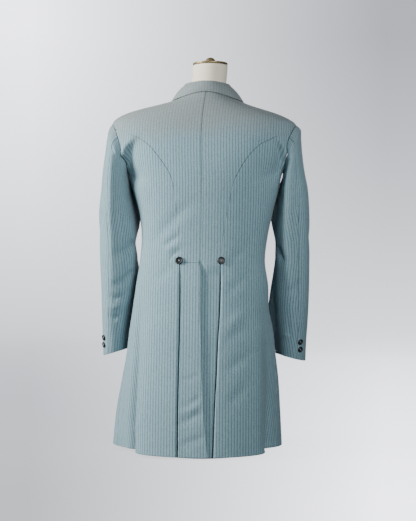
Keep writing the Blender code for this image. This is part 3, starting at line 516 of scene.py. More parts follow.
# The same for the front, placed like the back's, since nothing there is seen
FRONT_FOLDS = [
    ([(0.170, 0.815, -0.002), (0.180, 0.785, -0.007), (0.176, 0.750, -0.005)], 0.009, 0.016, 1.8),
    ([(-0.178, 0.815, -0.002), (-0.188, 0.785, -0.007),
      (-0.180, 0.750, -0.005)], 0.016, 0.009, 1.8),
    ([(0.010, 0.570, -0.0006), (0.050, 0.592, -0.0026),
      (0.105, 0.622, -0.0004)], 0.008, 0.010, 2.0),
    ([(-0.014, 0.570, -0.0006), (-0.055, 0.590, -0.0026),
      (-0.108, 0.618, -0.0004)], 0.010, 0.008, 2.0),
    ([(0.012, 0.505, -0.0008), (0.060, 0.518, -0.0030),
      (0.118, 0.540, -0.0004)], 0.008, 0.012, 2.0),
    ([(-0.020, 0.504, -0.0008), (-0.066, 0.516, -0.0030),
      (-0.118, 0.538, -0.0004)], 0.012, 0.008, 2.0),
    ([(0.080, 0.470, -0.0004), (0.094, 0.340, -0.0050), (0.104, 0.200, -0.0060),
      (0.110, 0.020, -0.0080)], 0.016, 0.020, 2.0),
    ([(-0.084, 0.470, -0.0004), (-0.098, 0.340, -0.0050), (-0.106, 0.200, -0.0060),
      (-0.112, 0.020, -0.0080)], 0.020, 0.016, 2.0),
    ([(0.040, 0.300, 0.0004), (0.046, 0.160, 0.0040), (0.050, 0.020, 0.0060)], 0.022, 0.018, 2.0),
    ([(-0.046, 0.300, 0.0004), (-0.052, 0.160, 0.0040),
      (-0.056, 0.020, 0.0060)], 0.018, 0.022, 2.0),
]


def fold_depth(across, along, folds):
    """Each fold is depth * exp(-(d/w)^p), where d is the distance to the nearest piece of
    its line, w its width on that side of the line, and p its sharpness."""
    total = np.zeros(across.shape)
    for points, left_width, right_width, sharp in folds:
        best = np.full(across.shape, np.inf)
        depth, side = np.zeros(across.shape), np.zeros(across.shape)
        for (x, z, deep), (next_x, next_z, next_deep) in zip(points, points[1:]):
            run_x, run_z = next_x - x, next_z - z
            off_x, off_z = across - x, along - z
            t = np.clip((off_x * run_x + off_z * run_z) / (run_x**2 + run_z**2), 0, 1)
            away = np.hypot(off_x - t * run_x, off_z - t * run_z)
            nearer = away < best
            best = np.where(nearer, away, best)
            depth = np.where(nearer, deep + (next_deep - deep) * t, depth)
            side = np.where(nearer, run_x * off_z - run_z * off_x, side)
        width = np.where(side > 0, left_width, right_width)
        total += depth * np.exp(-(best / width)**sharp)
    return total


def coat(angle, height, lift=0.0):
    """Points of the coat's outside and their normals: the body moved along its normals
    by its small folds, which fade towards the side line, and by a lift."""
    point, normal = body(angle, height), body_normal(angle, height)
    cosine = np.cos(np.radians(angle)) * np.ones(point.shape[:-1])
    behind = smooth_step((cosine + 0.02) / 0.18)
    before = smooth_step((-cosine + 0.02) / 0.18)
    depth = fold_depth(point[..., 0], point[..., 2], BACK_FOLDS) * behind
    depth += fold_depth(point[..., 0], point[..., 2], FRONT_FOLDS) * before
    return point + normal * (depth + lift)[..., None], normal


def run_length(points, axis):
    """Length along each line of a grid, by adding the chords along one of its axes."""
    chords = np.linalg.norm(np.diff(points, axis=axis), axis=-1)
    return np.insert(np.cumsum(chords, axis=axis), 0, 0, axis=axis)


def ring_length(angle, height):
    """Length along the ring from the centre back, read from chords of one degree."""
    fine = np.arange(0, 206.0)
    side = np.where(angle < 0, -1.0, 1.0)
    turn = np.abs(angle)
    level = np.broadcast_to(height, turn.shape)[:, :1]
    whole = np.minimum(turn.astype(int), len(fine) - 2)
    length = np.zeros(turn.shape)
    for way in (1.0, -1.0):
        total = run_length(body(way * fine, level), 1)
        low = np.take_along_axis(total, whole, axis=1)
        high = np.take_along_axis(total, whole + 1, axis=1)
        length = np.where(side == way, way * (low + (high - low) * (turn - whole)), length)
    return length


def panel_angle(side, across, height, face="back"):
    """Angle of a point on the back or front that lies across metres from the centre line;
    on the front a negative across lies past it."""
    half = RINGS("left" if side > 0 else "right", height)
    square = RINGS("square", height)
    deep = RINGS(face, height) * np.clip(1 - (np.abs(across) / half)**square, 0, 1)**(1 / square)
    if face == "back":
        return side * np.degrees(np.arctan2(across, deep))
    turn = np.degrees(np.arctan2(across, -deep))
    return side * np.where(turn < 0, turn + 360, turn)


def armhole(side, turn):
    """Angle and ring height on the armhole, an ellipse; turn 0 is its top, 90 the back."""
    middle = (ARMHOLE_TOP + ARMHOLE_BOTTOM) / 2
    half = (ARMHOLE_TOP - ARMHOLE_BOTTOM) / 2
    turn = np.radians(turn)
    return side * (90 - ARMHOLE_HALF * np.sin(turn)), middle + half * np.cos(turn)


def armhole_angle(side, height, edge):
    """Angle of the armhole's back (edge 1) or front (edge -1) at a ring height."""
    middle = (ARMHOLE_TOP + ARMHOLE_BOTTOM) / 2
    level = np.clip((height - middle) / (ARMHOLE_TOP - middle), -1, 1)
    return side * (90 - edge * ARMHOLE_HALF * np.sqrt(1 - level**2))


def beside(angle, height, distance):
    """An edge moved off its seam by a distance along its ring."""
    point = ring_points(RINGS, angle, height)
    return angle + np.degrees(distance / np.hypot(point[..., 0], point[..., 1]))


def breadth(angle, height):
    """Signed distance of a point from the centre line, as the seams measure it."""
    return ring_points(RINGS, angle, height)[..., 0] - LEAN("shift", height)


def sink(height):
    """How far the pleats have opened: 0 at the waist, 1 a hand below."""
    return smooth_step((WAIST - PLEAT_START - height) / PLEAT_RUN)


def pleat_drop(height):
    """Depth of a tail's sunk edge under the side skirt beside it."""
    lying = CLOTH + LAYER_GAP
    return lying + (PLEAT_DEPTH - lying) * sink(height)


def back_seam(side, heights):
    """Angles of the side back seam, and of the pleat below the waist."""
    name = "left" if side > 0 else "right"
    across = np.where(heights > WAIST, SIDE_BACK_SEAM(name, heights), PLEATS(name, heights))
    return panel_angle(side, across, heights)


def seam_press(heights):
    """1 where a side back seam shows, 0 near the armhole, where it is pressed away, and
    0.4 from the shoulder blades down, where the pull of the waist flattens it."""
    pulled = smooth_step((0.74 - heights) / 0.10)
    return smooth_step((0.842 - heights) / 0.012) * (1 - 0.6 * pulled)


def rows_between(*stops):
    """Row heights from stop to stop, each with the spacing that its second number gives."""
    rows = [np.array([stops[0][0]])]
    for (start, spacing), (end, _) in zip(stops, stops[1:]):
        count = max(1, round((start - end) / spacing))
        rows.append(np.linspace(start, end, count + 1)[1:])
    return np.concatenate(rows)


def columns_across(count):
    """Shares of a piece's breadth, close together at both edges for their rounding."""
    edge = np.array([0.0, 0.0020, 0.0050, 0.0090, 0.0150])
    middle = np.linspace(edge[-1], 1 - edge[-1], count)
    return np.concatenate([edge[:-1], middle, 1 - edge[-2::-1]])


def rounded(distance, amount=1.0):
    """Drop of the outer face near an edge: a quarter circle 1 - sqrt(1 - (1 - t)^2)."""
    t = np.clip(distance / EDGE_ROUND, 0, 1)
    return -EDGE_DROP * amount * (1 - np.sqrt(1 - (1 - t)**2))


def cloth_wall(name, outer, inner, cut, to_seam):
    """A closed wall of striped wool: the outer grid, the inner grid behind it and a rim
    round both. The attribute "cut" holds each point's place in the flat piece (across,
    along) and its distance from the nearest free edge; "to_seam" is that from a sewn one."""
    rows, columns = outer.shape[:2]
    under = rows * columns
    index = np.arange(under).reshape(rows, columns)
    front = np.stack([index[:-1, :-1], index[:-1, 1:], index[1:, 1:], index[1:, :-1]], -1)
    front = front.reshape(-1, 4)
    rim = np.concatenate([index[0, :-1], index[:-1, -1], index[-1, :0:-1], index[:0:-1, 0]])
    ahead = np.roll(rim, -1)
    edge = np.stack([rim, rim + under, ahead + under, ahead], -1)
    faces = np.concatenate([front, front[:, ::-1] + under, edge])
    points = np.concatenate([outer.reshape(-1, 3), inner.reshape(-1, 3)])
    a, b, d = points[front[:, 0]], points[front[:, 1]], points[front[:, 3]]
    outwards = np.cross(b - a, d - a) * (points[front[:, 0]] - points[front[:, 0] + under])
    if outwards.sum() < 0:
        faces = faces[:, ::-1]
    made = add_object(name + "_cloth", points, faces.tolist(), striped_wool)
    place = np.concatenate([cut.reshape(-1, 3)] * 2).astype(np.float32)
    made.data.attributes.new("cut", "FLOAT_VECTOR", "POINT").data.foreach_set(
        "vector", place.ravel())
    away = np.concatenate([np.ravel(to_seam)] * 2).astype(np.float32)
    made.data.attributes.new("to_seam", "FLOAT", "POINT").data.foreach_set("value", away)
    stand_for(made, name)
    return made


def body_piece(name, heights, start, end, depth, grain, free, press=(1.0, 1.0)):
    """A piece of the coat's body between two edges. The grain is an angle per row that
    the stripes run along. free says which of its start, end, top and bottom edges are
    not sewn to another piece, and press scales the rounding of start and end by row."""
    angle = start[:, None] + (end - start)[:, None] * columns_across(BODY_COLUMNS)[None, :]
    heights = heights[:, None]
    length = ring_length(angle, heights)
    outer, normal = coat(angle, heights, depth(angle, np.broadcast_to(heights, angle.shape)))
    away = [np.abs(length - length[:, :1]), np.abs(length[:, -1:] - length),
            np.linalg.norm(outer - outer[:1], axis=-1),
            np.linalg.norm(outer - outer[-1:], axis=-1)]
    press = [p * np.ones(heights.shape) for p in press] + [1.0, 1.0]
    drop = np.min([rounded(off, p) for off, p in zip(away, press)], axis=0)
    inner = outer - normal * CLOTH
    outer = outer + normal * drop[..., None]
    far_off = [np.full(angle.shape, FAR_OFF)]
    to_edge = np.min(far_off + [off for off, is_free in zip(away, free) if is_free], axis=0)
    sewn = [off + (1 - p) * PRESSED_OFF
            for off, p, is_free in zip(away, press, free) if not is_free]
    across = length - ring_length(grain[:, None] * np.ones(angle.shape), heights)
    cut = np.stack([across, outer[..., 2], to_edge], -1)
    return cloth_wall(name, outer, inner, cut, np.min(far_off + sewn, axis=0))


def no_depth(angle, height):
    """The left back lies on the body as it is."""
    return np.zeros(angle.shape)


def flap_depth(angle, height):
    """The flap stands out where it laps, and its pleat side is sunk."""
    across = breadth(angle, height)
    lap = smooth_step((FLAP_REACH - across) / TAIL_UNDERLAP)
    pleat = smooth_step(1 + (across - PLEATS("left", height)) / PLEAT_WIDTH)
    return LAYER_GAP * lap - pleat_drop(height) * pleat


def right_tail_depth(angle, height):
    """The right tail is set back below the waist seam, so that the flap lies on it, and
    its pleat side is sunk under the right side skirt."""
    across = -breadth(angle, height)
    below = smooth_step((WAIST - height) / SINK_RUN)
    under = TAIL_STEP * smooth_step((WAIST_SEAM - 0.002 - height) / TAIL_STEP_RUN)
    pleat = smooth_step(1 + (across - PLEATS("right", height)) / PLEAT_WIDTH)
    return -below * (under * (1 - pleat) + pleat_drop(height) * pleat)


def maths(tree, operation, *values):
    """The result of a sum on up to three numbers or sockets."""
    return node(tree, "Math", dict(enumerate(values)), operation=operation)[0]


# Wool suiting, woven with a narrow self stripe: a blue grey ground with darker
# stripes 7.7 mm apart, a fine herringbone of about 1 mm that is drawn at 2.4 mm so
# that it shows, and a soft nap. A warmer grey is painted on the shoulders for the warm
# light from above, painted shade darkens the seams, and a painted fall-off of the
# light darkens the cloth towards the hem.
striped_wool, tree, shader = new_material("striped wool suiting")
place = node(tree, "Attribute", attribute_name="cut")["Vector"]
parts = node(tree, "SeparateXYZ", {"Vector": place})
where = node(tree, "TexCoord")["Object"]
slub = noise(tree, place, 260.0, 4.0)
wander = maths(tree, "SUBTRACT", slub, 0.5)

# The stripe is a cosine across the cut, broken along its length by lumpy yarn
turns = maths(tree, "MULTIPLY", parts["X"], 2 * math.pi / STRIPE)
turns = maths(tree, "MULTIPLY_ADD", wander, 0.9, turns)
wave = maths(tree, "COSINE", turns)
broken = node(tree, "VectorMath", {0: place, 1: (420.0, 70.0, 1.0)}, operation="MULTIPLY")[0]
broken = spread(tree, noise(tree, broken, 1.0, 3.0), 0.3, 0.7, -0.32, 0.32)
stripe = maths(tree, "ADD", spread(tree, wave, -0.98, 0.20, kind="SMOOTHSTEP"), broken)
ground = mixed(tree, stripe, "#56717b", "#738f99")

# The herringbone is a sine along a slant that turns over at each stripe
slant = maths(tree, "MULTIPLY", parts["X"], maths(tree, "SIGN", wave))
slant = maths(tree, "ADD", slant, parts["Y"])
twill = maths(tree, "SINE", maths(tree, "MULTIPLY", slant, 2 * math.pi / TWILL))
fine = maths(tree, "COSINE", maths(tree, "MULTIPLY", turns, 3.0))
cloudy = maths(tree, "SUBTRACT", noise(tree, where, 9.0, 3.0), 0.5)
bright = maths(tree, "MULTIPLY_ADD", fine, 0.030, 1.0)
bright = maths(tree, "MULTIPLY_ADD", twill, 0.045, bright)
bright = maths(tree, "MULTIPLY_ADD", wander, 0.72, bright)
bright = maths(tree, "MULTIPLY_ADD", cloudy, 0.14, bright)

# The painted warm light on the shoulders, the painted seam shade and the painted fall-off towards
# the hem go by height, unevenly
level = node(tree, "SeparateXYZ", {"Vector": where})["Z"]
level = maths(tree, "MULTIPLY_ADD", cloudy, 0.10, level)
# painted light: the shoulders and collar get a warmer grey for the warm light that falls from
# above
painted_warm_top_light = spread(tree, level, 0.790, 0.900, 0.0, 0.85, "SMOOTHSTEP")
warm = mixed(tree, 0.22, mixed(tree, painted_warm_top_light, ground, "#6f706e"), ground)
# painted shade in the seams: the cloth beside a sewn edge is drawn darker, most of all high on the
# back
seam_shade = spread(tree, level, 0.650, 0.760, 0.94, 0.56)
sewn = node(tree, "Attribute", attribute_name="to_seam")["Fac"]
sewn = spread(tree, sewn, 0.0002, 0.0022, seam_shade, 1.0, "SMOOTHSTEP")
# painted shade: the cloth is drawn darker from the waist down to the hem, for light that falls off
# down the skirt
painted_falloff_to_hem = spread(tree, level, 0.10, 0.52, 0.86, 1.0)
bright = maths(tree, "MULTIPLY", maths(tree, "MULTIPLY", bright, sewn), painted_falloff_to_hem)
colour = node(tree, "VectorMath", {0: warm, "Scale": bright}, operation="SCALE")[0]
tree.links.new(colour, shader.inputs["Base Color"])
shader.inputs["Roughness"].default_value = 0.86
shader.inputs["Specular IOR Level"].default_value = 0.25
shader.inputs["Sheen Weight"].default_value = 0.10
shader.inputs["Sheen Roughness"].default_value = 0.45

# A row of stitches is sunk in the cloth beside each free edge
inset = maths(tree, "ABSOLUTE", maths(tree, "SUBTRACT", parts["Z"], STITCH_INSET))
stitch = spread(tree, inset, 0.0005, 0.0012, 1.0, 0.0)
run = maths(tree, "ADD", parts["X"], parts["Y"])
run = maths(tree, "SINE", maths(tree, "MULTIPLY", run, 2 * math.pi / STITCH_LENGTH))
stitch = maths(tree, "MULTIPLY", stitch, spread(tree, run, 0.1, 0.7))
height_map = maths(tree, "MULTIPLY_ADD", twill, 0.25, slub)
raise_surface(tree, shader, maths(tree, "MULTIPLY_ADD", stitch, -2.0, height_map), 0.5)

BODY_ROWS = ((0.955, 0.0013), (0.905, 0.0020), (ARMHOLE_TOP, 0.0034), (0.745, 0.0040))
upper = rows_between(*BODY_ROWS, (WAIST_SEAM + 0.002, 0.0007), (WAIST_SEAM, 1))
lower = rows_between((WAIST_SEAM - SEAM, 0.0007), (WAIST_SEAM - 0.002, 0.0040), (0.010, 0.0008),
                     (HEM, 1))
whole = rows_between(*BODY_ROWS, (WAIST, 0.0040), (0.010, 0.0008), (HEM, 1))
seam_top = armhole(1, 45)[1]


def back_outer_edge(side, heights):
    """Angles of the back's outer edge: shoulder, armhole, then side back seam."""
    edge = np.where(heights > ARMHOLE_TOP, side * 90.0, armhole_angle(side, heights, 1))
    return np.where(heights < seam_top, back_seam(side, heights), edge)


outer_edge = beside(back_outer_edge(1, upper), upper, -SEAM / 2)
back_left = body_piece(
    "back_left", upper, beside(np.zeros(len(upper)), upper, SEAM / 2), outer_edge, no_depth,
    np.zeros(len(upper)), (False, False, False, False),
    (1.0, np.where(upper > seam_top, 1, seam_press(upper))[:, None]))

free_edge = panel_angle(-1, PLEATS("flap", lower), lower)
grow = smooth_step((WAIST - TUCK_START - lower) / TUCK_RUN)
tucked = panel_angle(1, PLEATS("left", lower) + PLEAT_TUCK * grow - SEAM, lower)
tail_left = body_piece("tail_left", lower, free_edge, tucked, flap_depth, np.zeros(len(lower)),
                       (True, False, False, True))

below = smooth_step((WAIST - TUCK_START - whole) / TUCK_RUN)
centre = beside(np.zeros(len(whole)), whole, -SEAM / 2)
hidden = panel_angle(1, TAIL_UNDERLAP, whole)
outer_edge = beside(back_outer_edge(-1, whole), whole, SEAM / 2)
tucked = panel_angle(-1, PLEATS("right", whole) + PLEAT_TUCK, whole)
outer_edge = np.where(whole < WAIST, outer_edge + (tucked - outer_edge) * below, outer_edge)
back_right = body_piece(
    "back_right", whole, centre + (hidden - centre) * below, outer_edge, right_tail_depth,
    np.zeros(len(whole)), (False, False, False, True),
    (1.0, np.where(whole > seam_top, 1, seam_press(whole))[:, None]))


# The side bodies: each runs from the curved side back seam round to the side seam
# and on into the side skirt, cut in one with it. The skirt's back edge is turned
# in along the pleat, and its fullness hangs in a deep soft fold.

EDGE_ROLL = 0.0024
ROLL_WIDTH = 0.004
GRAIN_ACROSS = 0.056


def side_back_depth(side):
    """The pleat edge of a side skirt rolls inwards by (1 - t)^2 below the waist."""
    name = "left" if side > 0 else "right"

    def depth(angle, height):
        from_edge = side * breadth(angle, height) - PLEATS(name, np.minimum(height, WAIST))
        roll = np.clip(1 - from_edge / ROLL_WIDTH, 0, 1)**2
        return -EDGE_ROLL * sink(height) * roll

    return depth


rows = rows_between((seam_top - 0.0004, 0.0024), (0.800, 0.0034), (0.745, 0.0040),
                    (0.010, 0.0008), (HEM, 1))
for side, word in ((1, "left"), (-1, "right")):
    start = beside(back_seam(side, rows), rows, side * SEAM / 2)
    end = np.where(rows > ARMHOLE_BOTTOM, armhole_angle(side, rows, 1), side * 90.0)
    end = beside(end, rows, -side * SEAM / 2)
    start = np.where(np.abs(start) < np.abs(end), start, end)
    grain = panel_angle(side, np.full(rows.shape, GRAIN_ACROSS), rows)
    piece = body_piece("side_back_" + word, rows, start, end, side_back_depth(side), grain,
                       (False, False, False, True), (seam_press(rows)[:, None], 1.0))


# The fronts: one long piece on each side from the shoulder seam to the hem, with
# a straight edge. The left one laps over the right and buttons to it, and above
# the top button both turn back as lapels.

LAP_STEP = 0.0016
LAP_REACH = 0.060
LAP_RUN = 0.035
FRONT_EDGE = Table("height across", [
    (0.955, 0.060), (0.938, 0.060), (0.905, 0.056), (0.868, 0.048),
    (0.806, 0.031), (0.745, 0.012), (0.700, -0.004), (0.655, -0.018),
    (0.600, -0.018), (0.509, -0.018), (0.250, -0.018), (0.006, -0.018),
])


def front_depth(side):
    """The left front stands out where it laps over the right, which stands in."""
    def depth(angle, height):
        across = side * breadth(angle, height)
        return side * LAP_STEP * smooth_step((LAP_REACH - across) / LAP_RUN)

    return depth


rows = rows_between(*BODY_ROWS, (WAIST, 0.0044), (0.010, 0.0008), (HEM, 1))
for side, word in ((1, "left"), (-1, "right")):
    in_armhole = (rows < ARMHOLE_TOP) & (rows > ARMHOLE_BOTTOM)
    start = np.where(in_armhole, armhole_angle(side, rows, -1), side * 90.0)
    start = beside(start, rows, side * SEAM / 2)
    end = panel_angle(side, FRONT_EDGE("across", rows), rows, "front")
    piece = body_piece("front_" + word, rows, start, end, front_depth(side),
                       np.full(rows.shape, side * 180.0), (False, True, False, True))


# The lapels: the turned-back top of each front, doubled with its facing, creased
# softly along the roll line and notched below the collar. The facing is the same
# wool, and its edge is prick stitched by hand.

LAPEL_STEP = 0.0030
LAPEL_LIFT = 0.0008
LAPEL_ROLL = 0.0040
LAPEL_COLUMNS = 26
LAPEL = Table("height width", [
    (0.912, 0.046), (0.890, 0.060), (0.866, 0.082), (0.846, 0.078),
    (0.806, 0.068), (0.745, 0.051), (0.700, 0.034), (0.668, 0.010),
])
for side, word, lowest in ((1, "left", 0.668), (-1, "right", 0.691)):
    rows = rows_between((0.912, 0.0005), (0.910, 0.0030), (lowest + 0.002, 0.0005), (lowest, 1))
    share = columns_across(LAPEL_COLUMNS)[None, :]
    roll = FRONT_EDGE("across", rows)
    seen = roll if side > 0 else np.maximum(roll, LAPEL_STEP - roll)
    start = panel_angle(side, seen, rows, "front")
    end = panel_angle(side, roll + LAPEL("width", rows), rows, "front")
    angle = start[:, None] + (end - start)[:, None] * share
    height = np.broadcast_to(rows[:, None], angle.shape)
    lift = LAPEL_LIFT + LAPEL_ROLL * (1 - share)**2 + front_depth(side)(angle, height)
    inner, normal = coat(angle, height, lift)
    length = ring_length(angle, rows[:, None])
    edges = (np.abs(length - length[:, :1]), np.abs(length - length[:, -1:]),
             np.linalg.norm(inner - inner[:1], axis=-1),
             np.linalg.norm(inner - inner[-1:], axis=-1))
    drop = np.min([rounded(away) for away in edges], axis=0)
    outer = inner + normal * (CLOTH + drop)[..., None]
    cut = np.stack([edges[0], outer[..., 2], np.minimum(edges[1], edges[2])], -1)
    lapel = cloth_wall("lapel_" + word, outer, inner, cut, np.full(angle.shape, FAR_OFF))


# The collar: stand and fall in one folded band of the same wool over stiff canvas,
# sewn round the neck from notch to notch. It rolls over at the top, and its fall
# covers the neck seam and lies on the back.

COLLAR_BELLY = 0.00245
COLLAR_LIFT = 0.0002
COLLAR = Table("angle seam fold_out fold_up turn edge", [
    (0, 0.9550, 0.0010, 0.0228, 0.0027, 0.9512), (30, 0.9550, 0.0000, 0.0240, 0.0027, 0.9512),
    (60, 0.9550, -0.0030, 0.0280, 0.0027, 0.9510), (90, 0.9550, -0.0060, 0.0300, 0.0027, 0.9505),
    (105, 0.9550, -0.0030, 0.0250, 0.0027, 0.9485), (118, 0.9545, 0.0010, 0.0180, 0.0027, 0.9440),
    (130, 0.9530, 0.0040, 0.0120, 0.0027, 0.9350), (139, 0.9500, 0.0050, 0.0090, 0.0027, 0.9240),
    (146, 0.9380, 0.0055, 0.0070, 0.0027, 0.9160),
])


def collar_middle(angle):
    """The middle of the collar's wall by angle: straight up the stand, a half circle over
    the fold, then down the fall with a belly sin(pi t) to its edge on the coat."""
    turn = np.abs(angle)
    seam = body(angle, COLLAR("seam", turn))
    out = np.stack([np.sin(np.radians(angle)), np.cos(np.radians(angle)), 0 * angle], axis=-1)
    up = np.array([0.0, 0.0, 1.0])
    radius = COLLAR("turn", turn)[:, None]
    fold = seam + out * COLLAR("fold_out", turn)[:, None] + up * COLLAR("fold_up", turn)[:, None]
    low = COLLAR("edge", turn)
    edge = body(angle, low) + body_normal(angle, low) * (CLOTH / 2 + COLLAR_LIFT)
    foot = seam + up * (CLOTH / 2 + GAP)
    stand = np.linspace(0, 1, 12)[:, None, None]
    over = np.radians(np.linspace(15, 165, 11))[:, None, None]
    fall = np.linspace(0, 1, 22)[:, None, None]
    side = fold + out * radius
    belly = (out + up) * COLLAR_BELLY * np.sin(np.pi * fall)
    path = [foot + (fold - out * radius - foot) * stand,
            fold - out * radius * np.cos(over) + up * radius * np.sin(over),
            side + (edge - side) * fall + belly]
    return np.concatenate(path).transpose(1, 0, 2)


angle = np.concatenate([np.linspace(-146, -145, 4), np.arange(-144, 144.1, 1.5),
                        np.linspace(145, 146, 4)])
path = collar_middle(angle)
normal = np.cross(np.gradient(path, axis=1), np.gradient(path, axis=0))
normal /= np.linalg.norm(normal, axis=-1, keepdims=True)
along, around = run_length(path, 1), run_length(path, 0)
around = around - around[len(angle) // 2]
to_edge = np.minimum(along[:, -1:] - along, np.abs(around[-1:]) - np.abs(around))
outer = path + normal * (CLOTH / 2 + rounded(along[:, -1:] - along))[..., None]
cut = np.stack([around, along, to_edge], -1)
collar = cloth_wall("collar", outer, path - normal * CLOTH / 2, cut, along)


# The sleeves: an upper and an under piece each, sewn at the hind seam, which the
# cuff buttons stand beside, and at the fore seam. The head is eased into the
# armhole, the elbow and the cuff are creased by wear, and the cuff is open.

SLEEVE = Table("station outer_left outer_right outer_z "
               "inner_left inner_right inner_z mid_y half_y", [
    (0.00, 0.2430, 0.2430, 0.872, 0.2010, 0.2010, 0.746, 0.000, 0.058),
    (0.05, 0.2540, 0.2555, 0.859, 0.2055, 0.2060, 0.735, 0.000, 0.064),
    (0.12, 0.2605, 0.2580, 0.834, 0.2055, 0.2060, 0.716, 0.000, 0.067),
    (0.20, 0.2670, 0.2610, 0.790, 0.2030, 0.2030, 0.690, 0.000, 0.068),
    (0.28, 0.2745, 0.2660, 0.745, 0.1985, 0.1990, 0.665, -0.001, 0.067),
    (0.36, 0.2790, 0.2745, 0.698, 0.1925, 0.1950, 0.635, -0.003, 0.065),
    (0.45, 0.2845, 0.2795, 0.640, 0.1855, 0.1910, 0.598, -0.008, 0.062),
    (0.54, 0.2835, 0.2815, 0.575, 0.1800, 0.1905, 0.555, -0.015, 0.060),
    (0.64, 0.2815, 0.2825, 0.505, 0.1795, 0.1915, 0.500, -0.024, 0.058),
    (0.74, 0.2800, 0.2815, 0.430, 0.1870, 0.1900, 0.435, -0.036, 0.056),
    (0.84, 0.2805, 0.2785, 0.360, 0.2000, 0.1925, 0.370, -0.051, 0.054),
    (0.93, 0.2805, 0.2740, 0.295, 0.2100, 0.1970, 0.312, -0.066, 0.052),
    (1.00, 0.2810, 0.2725, 0.250, 0.2150, 0.1985, 0.268, -0.078, 0.051),
])
RIGHT_CUFF_DROP = 0.0125
HIND_SEAM = 67.5
FORE_SEAM = 247.5
SLEEVE_RADIUS = 0.055
SLEEVE_LENGTH = 0.63
SLEEVE_COLUMNS = 46
HEAD_RUN = 0.16
HOLE_RUN = 0.02
FOLD_START = 0.03

# Folds of the left sleeve (1) and the right (-1) by turn (degrees from the outer line,
# 90 at the back) and station (0 at the armhole, 1 at the cuff), with depth, widths and
# sharpness as on the back
SLEEVE_FOLDS = {
    1: [
        ([(76, 0.10, 0.001), (77, 0.20, 0.0050), (78, 0.50, 0.0050), (76, 0.70, 0.0030),
          (76, 0.90, 0.0010)], 0.016, 0.009, 1.2),
        ([(99, 0.12, -0.002), (99, 0.24, -0.0045), (101, 0.50, -0.0040), (100, 0.68, -0.001)],
         0.013, 0.036, 1.8),
        ([(206, 0.09, 0.004), (212, 0.18, 0.015), (218, 0.30, 0.019), (220, 0.40, 0.024),
          (220, 0.46, 0.016), (220, 0.52, 0.000)], 0.023, 0.032, 2.0),
        ([(185, 0.50, -0.002), (185, 0.54, -0.006), (185, 0.60, -0.003)], 0.034, 0.034, 2.0),
        ([(206, 0.62, 0.002), (212, 0.71, 0.013), (212, 0.84, 0.012), (206, 0.95, 0.003)],
         0.023, 0.032, 2.0),
        ([(76, 0.085, -0.004), (62, 0.125, -0.0030), (48, 0.180, -0.0010)], 0.006, 0.010, 1.5),
        ([(92, 0.070, 0.003), (80, 0.110, 0.0040), (70, 0.150, 0.0010)], 0.010, 0.006, 1.6),
        ([(150, 0.545, -0.008), (120, 0.590, -0.009), (95, 0.600, -0.003)], 0.012, 0.014, 1.8),
        ([(140, 0.680, -0.006), (110, 0.715, -0.008), (82, 0.720, -0.002)], 0.009, 0.010, 1.8),
        ([(70, 0.765, -0.003), (92, 0.778, -0.0048), (120, 0.770, -0.002)], 0.006, 0.007, 1.6),
        ([(66, 0.800, 0.0015), (88, 0.812, 0.0045), (112, 0.806, 0.0020)], 0.007, 0.007, 1.8),
        ([(70, 0.845, -0.002), (94, 0.858, -0.0048), (124, 0.846, -0.002)], 0.007, 0.008, 1.8),
        ([(20, 0.500, -0.001), (-10, 0.560, -0.003), (-40, 0.590, -0.001)], 0.012, 0.014, 2.0),
    ],
    -1: [
        ([(112, 0.10, 0.001), (114, 0.22, 0.0050), (108, 0.50, 0.0050), (100, 0.72, 0.0030),
          (96, 0.88, 0.0010)], 0.014, 0.020, 1.4),
        ([(78, 0.18, -0.002), (76, 0.40, -0.0040), (72, 0.62, -0.0030), (70, 0.76, -0.001)],
         0.016, 0.016, 2.0),
        ([(206, 0.09, 0.004), (212, 0.18, 0.013), (218, 0.30, 0.019), (220, 0.41, 0.028),
          (220, 0.47, 0.018), (220, 0.55, 0.003)], 0.023, 0.032, 2.0),
        ([(210, 0.60, 0.003), (216, 0.70, 0.017), (216, 0.80, 0.030), (210, 0.88, 0.025),
          (204, 0.99, 0.011)], 0.025, 0.032, 2.0),
        ([(84, 0.085, -0.0014), (66, 0.120, -0.0010), (50, 0.160, -0.0003)], 0.009, 0.012, 2.0),
        ([(150, 0.560, -0.005), (128, 0.610, -0.006), (104, 0.630, -0.001)], 0.012, 0.014, 1.8),
        ([(60, 0.700, -0.002), (90, 0.735, -0.0035), (120, 0.745, -0.001)], 0.010, 0.010, 1.8),
        ([(102, 0.830, -0.001), (100, 0.890, -0.0026), (98, 0.905, -0.001)], 0.005, 0.006, 1.5),
        ([(96, 0.905, -0.001), (112, 0.912, 0.0028), (130, 0.912, 0.001)], 0.005, 0.006, 1.5),
        ([(20, 0.500, -0.001), (-10, 0.560, -0.003), (-40, 0.590, -0.001)], 0.012, 0.014, 2.0),
    ],
}


def sleeve_tube(side, turn, station):
    """Points of the sleeve before it meets the armhole: an ellipse between the outer and
    inner line of the sleeve at each station, flattened front to back by half_y."""
    word = "left" if side > 0 else "right"
    outer = [SLEEVE("outer_" + word, station), SLEEVE("outer_z", station)]
    inner = [SLEEVE("inner_" + word, station), SLEEVE("inner_z", station)]
    turn = np.radians(turn)
    x = (outer[0] + inner[0]) / 2 + (outer[0] - inner[0]) / 2 * np.cos(turn)
    z = (outer[1] + inner[1]) / 2 + (outer[1] - inner[1]) / 2 * np.cos(turn)
    y = SLEEVE("mid_y", station) + SLEEVE("half_y", station) * np.sin(turn)
    z = z - (RIGHT_CUFF_DROP * station**2 if side < 0 else 0)
    return np.stack([side * x + LEAN("shift", z), y, z], axis=-1)


